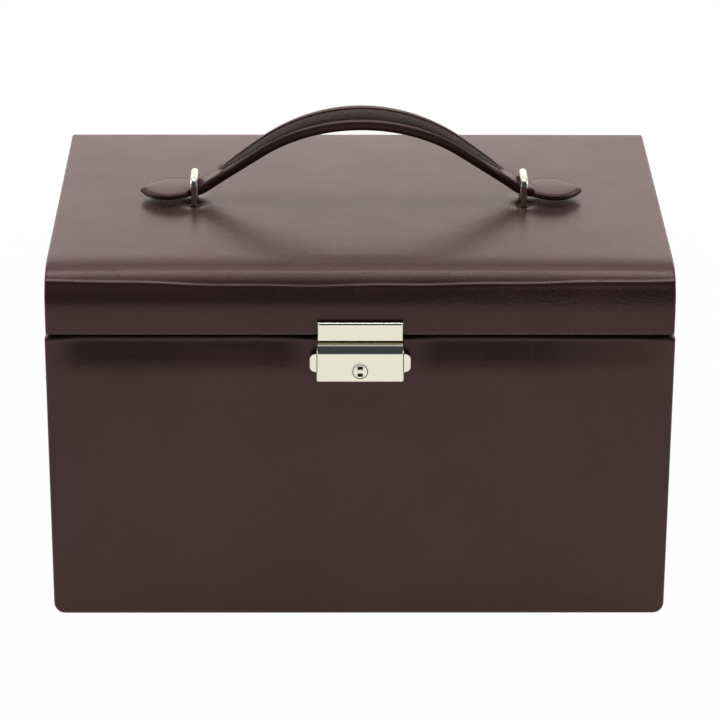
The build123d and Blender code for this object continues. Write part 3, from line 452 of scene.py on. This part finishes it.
def make_velour(name, first, second):
    """Short pile cloth with a soft sheen and brushed patches."""
    material = start_material(name, first, cloth_roughness)
    patches = texture(material, "ShaderNodeTexNoise", cloth_patch_scale, Detail=3)
    mottle(material, patches, first, second)
    pile = texture(material, "ShaderNodeTexNoise", pile_scale, Detail=2)
    bump(material, (pile, pile_strength, pile_height))
    shader = shader_of(material)
    shader.inputs["Sheen Weight"].default_value = sheen_weight
    shader.inputs["Sheen Roughness"].default_value = sheen_roughness
    return material


def add_painted_crevice_shade(material, colour, crevice_shade_colour, reach):
    """Paints shade into the crevices of a metal: its base colour turns dark where ambient occlusion
    finds other surfaces close by.
    """
    tree = material.node_tree
    crevice = tree.nodes.new("ShaderNodeAmbientOcclusion")
    crevice.inputs["Distance"].default_value = reach
    blend = tree.nodes.new("ShaderNodeValToRGB")
    blend.color_ramp.elements[0].position = crevice_shade_from
    blend.color_ramp.elements[0].color = (*crevice_shade_colour, 1)
    blend.color_ramp.elements[1].position = crevice_shade_until
    blend.color_ramp.elements[1].color = (*colour, 1)
    tree.links.new(crevice.outputs["AO"], blend.inputs["Fac"])
    tree.links.new(blend.outputs["Color"], shader_of(material).inputs["Base Color"])


def make_metal(name, colour, roughness, smear, scratch_stretch=(1, 1, 1)):
    """Metal with a drifting polish and fine scratches."""
    material = start_material(name, colour, roughness, metallic=1.0)
    polish = texture(material, "ShaderNodeTexNoise", polish_scale, Detail=4)
    vary_roughness(material, polish, roughness - smear, roughness + smear)
    scratches = texture(material, "ShaderNodeTexNoise", scratch_scale, stretch=scratch_stretch,
                        Detail=4)
    bump(material, (scratches, scratch_strength, scratch_height))
    return material


def make_wood(name, first, second):
    """Plain wood with its grain along X."""
    material = start_material(name, first, wood_roughness)
    grain = texture(material, "ShaderNodeTexNoise", wood_scale, stretch=wood_stretch, Detail=5)
    mottle(material, grain, first, second)
    bump(material, (grain, wood_strength, wood_height))
    return material


case_leather = make_leather("case_leather", linear(65, 42, 43), linear(73, 48, 49),
                            roughness=0.27, grain_size=1.1 * mm, grain_height=0.045 * mm)
add_crinkles(case_leather, crinkle_size, crinkle_height, crinkle_fades)
handle_leather = make_leather("handle_leather", linear(66, 43, 44), linear(76, 51, 51),
                              roughness=0.32, grain_size=1.0 * mm, grain_height=0.05 * mm)
inlay_leather = make_leather("inlay_leather", linear(42, 27, 29), linear(56, 38, 40),
                             roughness=0.6, grain_size=1.3 * mm, grain_height=0.8 * mm,
                             gloss_level=0.2, shine=(0.6, 0.5, 0.52))
velour = make_velour("velour", linear(196, 176, 148), linear(178, 156, 128))
foam = make_velour("foam", linear(228, 220, 198), linear(214, 205, 180))
bottom_cloth = make_velour("bottom_cloth", linear(46, 38, 38), linear(58, 48, 47))
board = make_wood("board", linear(176, 142, 100), linear(150, 116, 78))
rail_wood = make_wood("rail_wood", linear(128, 90, 58), linear(104, 70, 44))
nickel_colour = linear(231, 228, 210)
nickel = make_metal("nickel", nickel_colour, roughness=0.13, smear=0.04)
# Painted shade: the nickel's base colour turns dark brown in its crevices, gaps, sockets and keyhole
# ring
add_painted_crevice_shade(nickel, nickel_colour, linear(60, 38, 24), crevice_shade_reach)
dark_nickel = make_metal("dark_nickel", linear(120, 112, 100), roughness=0.3, smear=0.08)
satin_steel = make_metal("satin_steel", linear(190, 186, 176), roughness=0.3, smear=0.06,
                         scratch_stretch=(0.05, 1, 1))
spring_steel = make_metal("spring_steel", linear(150, 150, 152), roughness=0.25, smear=0.05)
silvered = make_metal("silvered_glass", linear(236, 240, 240), roughness=0.03, smear=0.01)

material_of_slot = {
    "case_leather": case_leather, "handle_leather": handle_leather,
    "inlay_leather": inlay_leather, "bottom_cloth": bottom_cloth, "lining": velour,
    "foam": foam, "board": board, "rail_wood": rail_wood, "mirror": silvered,
    "nickel": nickel, "dark_nickel": dark_nickel, "hinge_steel": satin_steel,
    "lock_steel": satin_steel, "spring_steel": spring_steel, "screw_steel": satin_steel,
}
slot_of_node = {entry["node"]: entry["material_slot"] for entry in frame["record"]["subparts"]}


def dress(piece, slot_name):
    """Gives a piece the material of one of the record's slots."""
    piece.data.materials.clear()
    piece.data.materials.append(material_of_slot[slot_name])


for node_name, node in nodes.items():
    dress(node, slot_of_node[node_name])


# Leather of the base: a padded wrap with rounded edges, hollow inside
def edge_inset(distance, radius):
    """How far a rounded edge lies inside its flat face, at a distance from the edge."""
    if distance >= radius:
        return 0.0
    return radius - sqrt(radius ** 2 - (radius - distance) ** 2)


def rounding(radius, count):
    """Distances from an edge that follow its rounding evenly."""
    return [radius * (1 - cos(angle)) for angle in spaced(0, pi / 2, count)]


def front_roll(x, z):
    """How far the padded front leans back under the seam, less at the ends and by the lock."""
    rise = smooth_step((half_width - abs(x)) / roll_taper)
    pressed = smooth_step((abs(x) - lock_press_half) / lock_press_fade)
    eased = roll_eased * smooth_step((x - roll_full_x) / roll_ease_reach)
    height = min(max(z - roll_start, 0.0), roll_end - roll_start)
    bent = min(height, roll_reach)
    lean = 0.5 * bent ** 2 / roll_reach + max(height - roll_reach, 0.0)
    by_lock = lock_press_share + (1 - lock_press_share) * pressed
    return roll_slope * lean * rise * by_lock * (1 - eased)


def base_ring(z):
    """Outline of the base at a height, from the front left corner round."""
    inset_x = max(edge_inset(z, bottom_side_radius), edge_inset(base_top - z, rim_radius))
    inset_y = max(edge_inset(z, corner_radius), edge_inset(base_top - z, rim_radius))
    half_x = half_width - inset_x
    low_y = front + inset_y
    high_y = rear - inset_y
    inner_x = half_x - corner_radius
    near_y = low_y + corner_radius
    far_y = high_y - corner_radius
    points = [Vector((x, low_y + front_roll(x, z), z)) for x in spaced(-inner_x, inner_x, front_steps)]
    corner_turns = ((inner_x, low_y, -pi / 2), (inner_x, high_y, 0),
                    (-inner_x, high_y, pi / 2), (-inner_x, low_y, pi))
    sides = (
        [Vector((half_x, y, z)) for y in spaced(near_y, far_y, side_steps)],
        [Vector((x, high_y, z)) for x in spaced(inner_x, -inner_x, rear_steps)],
        [Vector((-half_x, y, z)) for y in spaced(far_y, near_y, side_steps)],
        [],
    )
    for (corner_x, corner_y, start), side in zip(corner_turns, sides):
        centre_y = corner_y + corner_radius * (1 if corner_y < 0 else -1)
        for angle in spaced(start, start + pi / 2, corner_steps)[1:-1]:
            points.append(Vector((corner_x + corner_radius * cos(angle),
                                  centre_y + corner_radius * sin(angle), z)))
        points.extend(side)
    return points


base_levels = rounding(corner_radius, corner_steps)
base_levels += [z for z in rounding(bottom_side_radius, bottom_levels) if z > corner_radius]
base_levels += spaced(bottom_side_radius, roll_start, wall_levels)[1:]
base_levels += spaced(roll_start, roll_end, roll_levels)[1:]
base_levels += spaced(roll_end, base_top - rim_radius, upper_levels)[1:]
base_levels += [base_top - z for z in reversed(rounding(rim_radius, rim_levels)[:-1])]
base_mesh = bmesh.new()
loft(base_mesh, [base_ring(z) for z in base_levels])
base_wrap = finish_mesh("base_leather_wrap", base_mesh)
cut_box(base_wrap, (-board_side_inside, board_front_inside, leather),
        (board_side_inside, board_rear_inside, base_top + leather))
cut_box(base_wrap, (turn_under - half_width, front + turn_under, -leather),
        (half_width - turn_under, rear - turn_under, 2 * leather))
cut_box(base_wrap, (-pocket_half_width, front - 2 * mm, pocket_low),
        (pocket_half_width, pocket_rear, pocket_high))
cut_box(base_wrap, (-slot_half_width, slot_front, pocket_low),
        (slot_half_width, slot_rear, base_top + leather))


# Leather of the lid: crowned over its foam, dimpled at the feet of the loops
def lid_outline(inset):
    """Side outline of the lid as (y, z), from the bottom front edge round to the rear."""
    low_y = front + inset
    high_y = rear - inset
    top = lid_high - inset
    bottom = lid_low + inset
    reach = lid_front_reach - inset
    drop = lid_front_drop - inset
    arc_rear = lid_rear_radius - inset
    edge = lid_rim_radius - inset * 0.5
    power = 2 / lid_front_power
    points = [(low_y + edge - edge * sin(angle), bottom + edge - edge * cos(angle))
              for angle in spaced(0, pi / 2, corner_steps)]
    points += [(low_y, z) for z in spaced(bottom + edge, top - drop, lid_wall_steps)[1:]]
    points += [(low_y + reach * (1 - cos(angle) ** power), top - drop * (1 - sin(angle) ** power))
               for angle in spaced(0, pi / 2, lid_edge_steps)[1:-1]]
    points += [(y, top) for y in spaced(low_y + reach, high_y - arc_rear, lid_top_steps)]
    points += [(high_y - arc_rear * (1 - sin(angle)), top - arc_rear * (1 - cos(angle)))
               for angle in spaced(0, pi / 2, lid_rear_arc_steps)[1:]]
    points += [(high_y, z) for z in spaced(top - arc_rear, bottom, lid_rear_steps)[1:]]
    points += [(y, bottom) for y in spaced(high_y, low_y + edge, lid_bottom_steps)[1:-1]]
    return points


def lid_swell(x, y, z):
    """Height that the foam adds to the top of the lid."""
    along = 1 - (x / lid_half_width) ** crown_power_along
    across = 1 - abs(y / rear) ** crown_power_across
    upper = smooth_step((z - lid_board_bottom) / (lid_high - lid_board_bottom))
    swell = lid_crown * along * across * upper
    for foot_x in (-loop_x, loop_x):
        for foot_y in (-loop_leg_y, loop_leg_y):
            distance = sqrt((x - foot_x) ** 2 + (y - foot_y) ** 2)
            swell *= smooth_step(distance / dimple_radius)
    return swell


def lid_ridges(x, z):
    """How far the creases of the leather stand out of the lid's rounded front edge."""
    drift = smooth_step((x + lid_half_width) / ridge_run)
    drift -= ridge_return * smooth_step((x - ridge_return_x) / ridge_run)
    wander = long_wander * sin(x / long_wander_reach)
    wander += short_wander * sin(x / short_wander_reach + short_wander_phase)
    total = 0.0
    for start, end, share in ridge_lines:
        middle = lid_high - (start + (end - start) * drift) * mm + wander * min(share, 1.0)
        total += share * exp(-((z - middle) / ridge_spread) ** 2)
    return ridge_height * total


def lid_ring(x):
    """Outline of the lid at a place along its width."""
    inset = edge_inset(lid_half_width - abs(x), lid_end_radius)
    outline = lid_outline(inset)
    ring = []
    for index, (y, z) in enumerate(outline):
        raised = Vector((x, y, z + lid_swell(x, y, z)))
        if front < y < front + lid_front_reach and z > lid_high - lid_front_drop:
            before = outline[index - 1]
            after = outline[index + 1]
            outward = Vector((0, before[1] - after[1], after[0] - before[0])).normalized()
            raised += outward * lid_ridges(x, z)
        ring.append(raised)
    return ring


end_places = rounding(lid_end_radius, lid_end_steps)
lid_places = [edge - lid_half_width for edge in end_places]
lid_places += spaced(lid_end_radius - lid_half_width, lid_half_width - lid_end_radius, lid_steps)[1:]
lid_places += [lid_half_width - edge for edge in reversed(end_places[:-1])]
lid_mesh = bmesh.new()
loft(lid_mesh, [lid_ring(x) for x in lid_places])
lid_wrap = finish_mesh("lid_leather_wrap", lid_mesh)
cut_box(lid_wrap, (-lid_side_inside, board_front_inside, lid_low - leather),
        (lid_side_inside, board_rear_inside, lid_board_bottom))


# Handle: a strap with grooved rims, and the pebbled inlay between them
def centre_line():
    """Stations along the right half of the strap: x, height and how far it leans."""
    arc_centre = lid_high + arc_apex - arc_radius
    bend_centre = lid_high + leaf_height + bend_radius
    stations = [(arc_radius * sin(lean), arc_centre + arc_radius * cos(lean), lean)
                for lean in spaced(0, strap_slope, arc_steps)]
    straight_start = stations[-1]
    straight_end = (bend_end_x - bend_radius * sin(strap_slope),
                    bend_centre - bend_radius * cos(strap_slope))
    for share in spaced(0, 1, straight_steps)[1:]:
        stations.append((straight_start[0] + share * (straight_end[0] - straight_start[0]),
                         straight_start[1] + share * (straight_end[1] - straight_start[1]),
                         strap_slope))
    for lean in spaced(strap_slope, 0, bend_steps)[1:]:
        stations.append((bend_end_x - bend_radius * sin(lean),
                         bend_centre - bend_radius * cos(lean), lean))
    for angle in spaced(0, pi / 2, leaf_steps)[1:]:
        place = bend_end_x + (tip_x - bend_end_x) * sin(angle)
        stations.append((place, lid_high + leaf_height, 0.0))
    return stations


def strap_half_width(x):
    """Half the strap's width: broad in the middle, a narrow neck and a pointed leaf."""
    bow = middle_half_width - (middle_half_width - neck_half_width) * (x / neck_x) ** 2
    width = max(bow, neck_half_width)
    if x < shoulder_x:
        return width
    length = leaf_inner_length if x < leaf_swell_x else tip_x - leaf_swell_x
    along = min(abs(x - leaf_swell_x) / length, 1.0)
    leaf = leaf_half_width * (1 - along ** 2) ** leaf_power
    opened = smooth_step((x - shoulder_x) / shoulder_length)
    return max(width + (leaf - width) * opened, thinnest_half_width)


def inlay_half(x, near):
    """Width of the inlay's near or far half at a place along the strap, with blunt ends."""
    share = min(x / inlay_half_length, 1.0)
    inside = strap_half_width(x) - rim_width + rim_narrowing * share ** 2
    inside += (2 * near - 1) * inlay_shift * (1 - share ** 2)
    return inside * (1 - share ** inlay_fullness) ** inlay_end_power


def strap_levels(x):
    """Heights over the centre line: crown, top of the edge, foot of the edge, underside."""
    leaf = smooth_step((x - shoulder_x) / shoulder_length)
    padded = 1 - smooth_step(x / neck_x)
    slim = slim_share + (1 - slim_share) * min(strap_half_width(x) / slim_width, 1.0)
    crown = strap_half_thickness + swell_up * padded
    floor = -strap_half_thickness - swell_down * padded
    edge_top = crown + (leaf_edge_top - crown) * leaf
    edge_low = floor + (-leaf_edge_low - floor) * leaf
    underside = floor + leaf_floor_lift * leaf
    return crown * slim, edge_top * slim, edge_low * slim, underside * slim


def strap_top(x, y):
    """Height of the strap's top over its centre line, without its hollow."""
    crown, edge_top, edge_low, floor = strap_levels(x)
    share = min(y / strap_half_width(x), 1.0)
    return edge_top + (crown - edge_top) * (1 - share ** 2)


def half_section(x, near):
    """One half of the outline across the strap, from the middle of its top to its underside."""
    crown, edge_top, edge_low, floor = strap_levels(x)
    width = strap_half_width(x)
    inlay = inlay_half(x, near) if x < inlay_half_length else 0.0
    present = smooth_step(inlay / inlay_fade)
    edge_round = far_edge_round + (near_edge_round - far_edge_round) * present * near
    turn = min(edge_round, 0.5 * width)
    groove = max(width - groove_from_edge, groove_inmost_share * width)
    groove += (inlay + groove_from_inlay - groove) * present
    lens = min(max(inlay, flat_top_share * groove), groove - groove_gap_share * width * (1 - present))
    shoulder = max(width - turn, groove + groove_lip_share * width)
    lowered = near * near_rim_drop * present * smooth_step(1 - x / neck_x)

    def top(y):
        return strap_top(x, y) - lowered * (y / width) ** 2

    side_middle = side_top_share * edge_top + side_low_share * edge_low
    side_middle += (top(shoulder) - near_rim_height - side_middle) * present * near
    points = [(share * lens, top(share * lens) - inlay_recess * present)
              for share in (0.0, 0.35, 0.7, 1.0)]
    for angle in spaced(0, pi / 2, 5)[1:-1]:
        y = lens + (groove - lens) * (1 - cos(angle))
        points.append((y, top(y) - inlay_recess * present * (1 - sin(angle))))
    cut = min(groove_depth, groove_gap_share * width)
    points += [(groove - groove_lip_share * width, top(groove)), (groove, top(groove) - cut)]
    rise = top(shoulder) - side_middle
    points += [(shoulder + (width - shoulder) * sin(angle), side_middle + rise * cos(angle))
               for angle in spaced(0, pi / 2, 12)[:-1]]
    drop = side_middle - edge_low
    inner = width - min(far_edge_round, 0.5 * width)
    points += [(inner + (width - inner) * cos(angle) ** side_power,
                side_middle - drop * sin(angle) ** side_power)
               for angle in spaced(0, pi / 2, 7)[:-1]]
    points += [(share * inner, floor + (edge_low - floor) * share ** 2)
               for share in (1.0, 0.66, 0.33, 0.0)]
    return points


def strap_section(x):
    """Closed outline across the strap as (y, height over the centre line)."""
    far_side = half_section(x, 0)
    near_side = half_section(x, 1)
    return far_side + [(-y, height) for y, height in reversed(near_side[1:-1])]


def bent_ring(station, section, side):
    """Places a section across the strap at a station of its centre line."""
    x, height, lean = station
    droop = leaf_droop * smooth_step((x - shoulder_x) / (tip_x - shoulder_x))
    return [Vector((handle_shift + side * (x + offset * sin(lean)), y,
                    height - droop + offset * cos(lean)))
            for y, offset in section]


half_line = centre_line()
strap_rings = [bent_ring(station, strap_section(station[0]), -1) for station in reversed(half_line)]
strap_rings += [bent_ring(station, strap_section(station[0]), 1) for station in half_line[1:]]
strap_mesh = bmesh.new()
loft(strap_mesh, strap_rings)
handle_strap = finish_mesh("handle_strap", strap_mesh)


def inlay_section(x):
    """Closed outline across the inlay: a low cushion with its edges tucked in."""
    bed = inlay_recess + inlay_bed
    upper = []
    lower = []
    lowered = near_rim_drop * smooth_step(1 - x / neck_x)
    for share in spaced(-1, 1, inlay_steps):
        near = share < 0
        y = share * max(inlay_half(x, near) - inlay_gap, 0.5 * inlay_gap)
        fall = lowered * near * (y / strap_half_width(x)) ** 2
        tucked = inlay_fall * share ** 2 + inlay_tuck * abs(share) ** inlay_tuck_power
        level = strap_top(x, abs(y)) - fall
        upper.append((y, level - inlay_gap - tucked))
        bed_fall = inlay_bed_fall * lowered * near * abs(share)
        lower.append((inlay_bed_share * y, level - bed - bed_fall))
    return upper + lower[::-inlay_floor_every]


inlay_stations = [station for station in half_line if station[0] < inlay_half_length]
inlay_rings = [bent_ring(station, inlay_section(station[0]), -1)
               for station in reversed(inlay_stations)]
inlay_rings += [bent_ring(station, inlay_section(station[0]), 1) for station in inlay_stations[1:]]
inlay_mesh = bmesh.new()
loft(inlay_mesh, inlay_rings)
handle_pad = finish_mesh("handle_inlay_pad", inlay_mesh)

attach(base_wrap, "base")
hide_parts("base_front_leather", "base_right_leather", "base_rear_leather",
            "base_left_leather", "base_front_padding")
dress(base_wrap, "case_leather")

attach(lid_wrap, "lid")
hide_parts("lid_leather", "lid_left_leather", "lid_right_leather")
dress(lid_wrap, "case_leather")

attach(handle_strap, "handle")
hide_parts("handle_lower_strap", "handle_core", "handle_upper_strap")
dress(handle_strap, "handle_leather")

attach(handle_pad, "handle")
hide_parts("handle_inlay")
dress(handle_pad, "inlay_leather")


# Soft pieces inside: rolls, pads and linings with tucked in edges
def loose_boxes(node_name):
    """Corners of each separate solid of a node."""
    mesh = nodes[node_name].data
    parent = list(range(len(mesh.vertices)))

    def root(index):
        while parent[index] != index:
            parent[index] = parent[parent[index]]
            index = parent[index]
        return index

    places = {}
    for vertex in mesh.vertices:
        key = tuple(round(value, 7) for value in vertex.co)
        parent[root(vertex.index)] = root(places.setdefault(key, vertex.index))
    for edge in mesh.edges:
        parent[root(edge.vertices[0])] = root(edge.vertices[1])
    groups = {}
    for vertex in mesh.vertices:
        groups.setdefault(root(vertex.index), []).append(vertex.co)
    boxes = []
    for group in groups.values():
        low = Vector([min(point[axis] for point in group) for axis in range(3)])
        high = Vector([max(point[axis] for point in group) for axis in range(3)])
        boxes.append((low, high))
    return boxes


def soft_block(bm, low, high, radius, tuck, step):
    """Adds a cushion between two corners whose faces fall away towards their edges."""
    size = high - low
    centre = (low + high) / 2
    radius = min(radius, roundest_share * min(size))
    block = bmesh.new()
    bmesh.ops.create_cube(block, size=1.0, matrix=Matrix.Diagonal((*size, 1)))
    bmesh.ops.bevel(block, geom=block.edges[:], offset=radius, segments=cushion_segments,
                    profile=0.5, affect="EDGES")
    for axis in range(3):
        normal = Vector([float(index == axis) for index in range(3)])
        count = int(size[axis] / step)
        for place in spaced(-size[axis] / 2, size[axis] / 2, count)[1:-1] if count > 1 else []:
            bmesh.ops.bisect_plane(block, geom=block.verts[:] + block.edges[:] + block.faces[:],
                                   plane_co=normal * place, plane_no=normal)
    for vertex in block.verts:
        share = [2 * vertex.co[axis] / size[axis] for axis in range(3)]
        moved = vertex.co.copy()
        for axis in range(3):
            others = [share[index] for index in range(3) if index != axis]
            middle = (1 - others[0] ** cushion_power) * (1 - others[1] ** cushion_power)
            moved[axis] -= share[axis] * min(tuck, tuck_limit * size[axis]) * (1 - middle)
        vertex.co = centre + moved
    offset = {vertex: bm.verts.new(vertex.co) for vertex in block.verts}
    for face in block.faces:
        bm.faces.new([offset[vertex] for vertex in face.verts])
    block.free()


def soft_copy(name, node_name, body, radius, tuck):
    """Replaces the plain solids of a node by padded ones."""
    bm = bmesh.new()
    for low, high in loose_boxes(node_name):
        soft_block(bm, low, high, radius, tuck, cushion_step)
    piece = finish_mesh(name, bm, cushion_smooth_angle)
    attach(piece, body)
    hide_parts(node_name)
    dress(piece, slot_of_node[node_name])


soft_copy("bracelet_roll_cushions", "bracelet_rolls", "base", radius=14 * mm, tuck=1.5 * mm)
soft_copy("ring_roll_cushions", "ring_rolls", "tray", radius=5.2 * mm, tuck=0.6 * mm)
soft_copy("till_floor_cushion", "tray_floor_pad", "tray", radius=0.8 * mm, tuck=0.4 * mm)
soft_copy("base_floor_pad", "base_floor_lining", "base", radius=0.8 * mm, tuck=0.4 * mm)
soft_copy("base_front_wall_pad", "base_front_lining", "base", radius=0.7 * mm, tuck=0.2 * mm)
soft_copy("base_rear_wall_pad", "base_rear_lining", "base", radius=0.7 * mm, tuck=0.2 * mm)
soft_copy("base_side_wall_pads", "base_side_linings", "base", radius=0.7 * mm, tuck=0.2 * mm)
soft_copy("lid_ceiling_pad", "lid_lining_panel", "lid", radius=0.8 * mm, tuck=0.3 * mm)

# Lock springs (on the real lock the slider's travel presses them together): a copy of the solid model's
# coils on the base, with a mesh of its own
spring_node = nodes["lock_springs"]
spring_coils = bpy.data.objects.new("lock_spring_coils", spring_node.data.copy())
bpy.context.scene.collection.objects.link(spring_coils)
spring_coils.matrix_world = spring_node.matrix_world
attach(spring_coils, "base")
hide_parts("lock_springs")
dress(spring_coils, "spring_steel")
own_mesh(spring_coils)

# Dividers, till walls and the lid's wall lining: the solids are right, with their edges softened
for node_name in ("long_divider", "cross_dividers", "tray_long_walls", "tray_short_walls",
                  "tray_dividers", "lid_wall_linings"):
    softened = nodes[node_name].modifiers.new("soft_edges", "BEVEL")
    softened.width = covered_edge
    softened.segments = 3

# Eased edges on the metal pieces in front, so that they catch the light
for node_name in ("lock_cover", "lock_slider", "hasp_plate", "key_plug"):
    eased = nodes[node_name].modifiers.new("eased_edges", "BEVEL")
    eased.width = metal_edge
    eased.segments = 2
    eased.limit_method = "ANGLE"
    eased.harden_normals = True


# Studio: white floor, a dim room in front, a pale wall behind and soft lamps
def add_light_path(tree, *kinds):
    """1 for the named kinds of rays and 0 for all others."""
    path = tree.nodes.new("ShaderNodeLightPath")
    chosen = path.outputs[kinds[0]]
    for kind in kinds[1:]:
        either = tree.nodes.new("ShaderNodeMath")
        either.operation = "MAXIMUM"
        tree.links.new(chosen, either.inputs[0])
        tree.links.new(path.outputs[kind], either.inputs[1])
        chosen = either.outputs[0]
    return chosen


floor_mesh = bmesh.new()
bmesh.ops.create_grid(floor_mesh, x_segments=floor_steps, y_segments=floor_steps, size=floor_size)
for vertex in floor_mesh.verts:
    vertex.co.y = max(vertex.co.y, floor_front)
floor = finish_mesh("studio_floor", floor_mesh)
floor_paint = start_material("floor_paint", floor_colour, floor_roughness)
floor_tree = floor_paint.node_tree
floor_place = floor_tree.nodes.new("ShaderNodeTexCoord")
floor_reach = floor_tree.nodes.new("ShaderNodeVectorMath")
floor_reach.operation = "LENGTH"
floor_share = floor_tree.nodes.new("ShaderNodeMapRange")
floor_share.inputs["From Min"].default_value = shadow_reach
floor_share.inputs["From Max"].default_value = shadow_end
floor_share.inputs["To Min"].default_value = floor_white
floor_share.inputs["To Max"].default_value = 1.0
floor_part = floor_tree.nodes.new("ShaderNodeMath")
floor_part.operation = "MULTIPLY"
floor_glow = floor_tree.nodes.new("ShaderNodeEmission")
floor_mix = floor_tree.nodes.new("ShaderNodeMixShader")
floor_link = floor_tree.links.new
floor_link(floor_place.outputs["Object"], floor_reach.inputs[0])
floor_link(floor_reach.outputs["Value"], floor_share.inputs["Value"])
floor_link(floor_share.outputs["Result"], floor_part.inputs[0])
floor_link(add_light_path(floor_tree, "Is Camera Ray", "Is Glossy Ray"), floor_part.inputs[1])
floor_link(floor_part.outputs[0], floor_mix.inputs["Fac"])
floor_link(shader_of(floor_paint).outputs[0], floor_mix.inputs[1])
floor_link(floor_glow.outputs[0], floor_mix.inputs[2])
floor_link(floor_mix.outputs[0], floor_tree.nodes["Material Output"].inputs["Surface"])
floor.data.materials.append(floor_paint)

world = bpy.data.worlds.new("studio")
bpy.context.scene.world = world
world.use_nodes = True
sky = world.node_tree
direction = sky.nodes.new("ShaderNodeTexCoord")
parts = sky.nodes.new("ShaderNodeSeparateXYZ")
half_turn = sky.nodes.new("ShaderNodeMapRange")
half_turn.inputs["From Min"].default_value = -1.0
half_turn.inputs["From Max"].default_value = 1.0
ramp = sky.nodes.new("ShaderNodeValToRGB")
tones = ramp.color_ramp.elements
while len(tones) < len(room_tones):
    tones.new(0.5)
for element, (place, colour) in zip(tones, room_tones):
    element.position = place
    element.color = (*colour, 1)
room = sky.nodes["Background"]
seen_white = sky.nodes.new("ShaderNodeBackground")
seen_white.inputs["Color"].default_value = (1, 1, 1, 1)
sky_mix = sky.nodes.new("ShaderNodeMixShader")
sky.links.new(direction.outputs["Generated"], parts.inputs[0])
sky.links.new(parts.outputs["Y"], half_turn.inputs["Value"])
sky.links.new(half_turn.outputs[0], ramp.inputs["Fac"])
sky.links.new(ramp.outputs["Color"], room.inputs["Color"])
sky.links.new(add_light_path(sky, "Is Camera Ray"), sky_mix.inputs["Fac"])
sky.links.new(room.outputs[0], sky_mix.inputs[1])
sky.links.new(seen_white.outputs[0], sky_mix.inputs[2])
sky.links.new(sky_mix.outputs[0], sky.nodes["World Output"].inputs["Surface"])


def softbox(name, place, aim_height, width, height, power, colour=white):
    """Rectangular lamp that faces a point above the middle of the floor."""
    lamp = bpy.data.lights.new(name, "AREA")
    lamp.shape = "RECTANGLE"
    lamp.size = width
    lamp.size_y = height
    lamp.energy = power
    lamp.color = colour
    box = bpy.data.objects.new(name, lamp)
    box.location = place
    aim = Vector((0, 0, aim_height)) - Vector(place)
    box.rotation_euler = aim.to_track_quat("-Z", "Y").to_euler()
    box.visible_camera = False
    bpy.context.scene.collection.objects.link(box)


softbox("overhead_softbox", (0, 0.28, 1.5), lamp_aim, width=1.6, height=1.0, power=6.2)
softbox("front_softbox", (0, -0.36, 1.45), lamp_aim, width=1.6, height=0.28, power=1.2)
softbox("strip_light", (0, 0.16, 1.6), lamp_aim, width=1.8, height=0.12, power=7.0,
        colour=(0.75, 0.9, 1.0))
softbox("rear_softbox", (0, 1.5, 0.64), rear_lamp_aim, width=2.6, height=0.74, power=3.6,
        colour=(1.0, 0.87, 0.81))
for side in (-1, 1):
    softbox("side_softbox", (1.3 * side, 0.25, 0.6), lamp_aim, width=0.7, height=0.8, power=3.0)

# Camera at the photo's place, with its long lens
camera_data = bpy.data.cameras.new("photo_camera")
camera_data.sensor_width = camera_sensor
camera_data.lens = camera_lens
camera = bpy.data.objects.new("photo_camera", camera_data)
camera.matrix_world = (Matrix.Translation(Vector(camera_place) * mm)
                       @ Matrix.Rotation(-camera_turn, 4, "Z")
                       @ Matrix.Rotation(pi / 2 - camera_pitch, 4, "X")
                       @ Matrix.Rotation(camera_roll, 4, "Z"))
bpy.context.scene.collection.objects.link(camera)
bpy.context.scene.camera = camera
bpy.context.scene.view_settings.view_transform = "Standard"
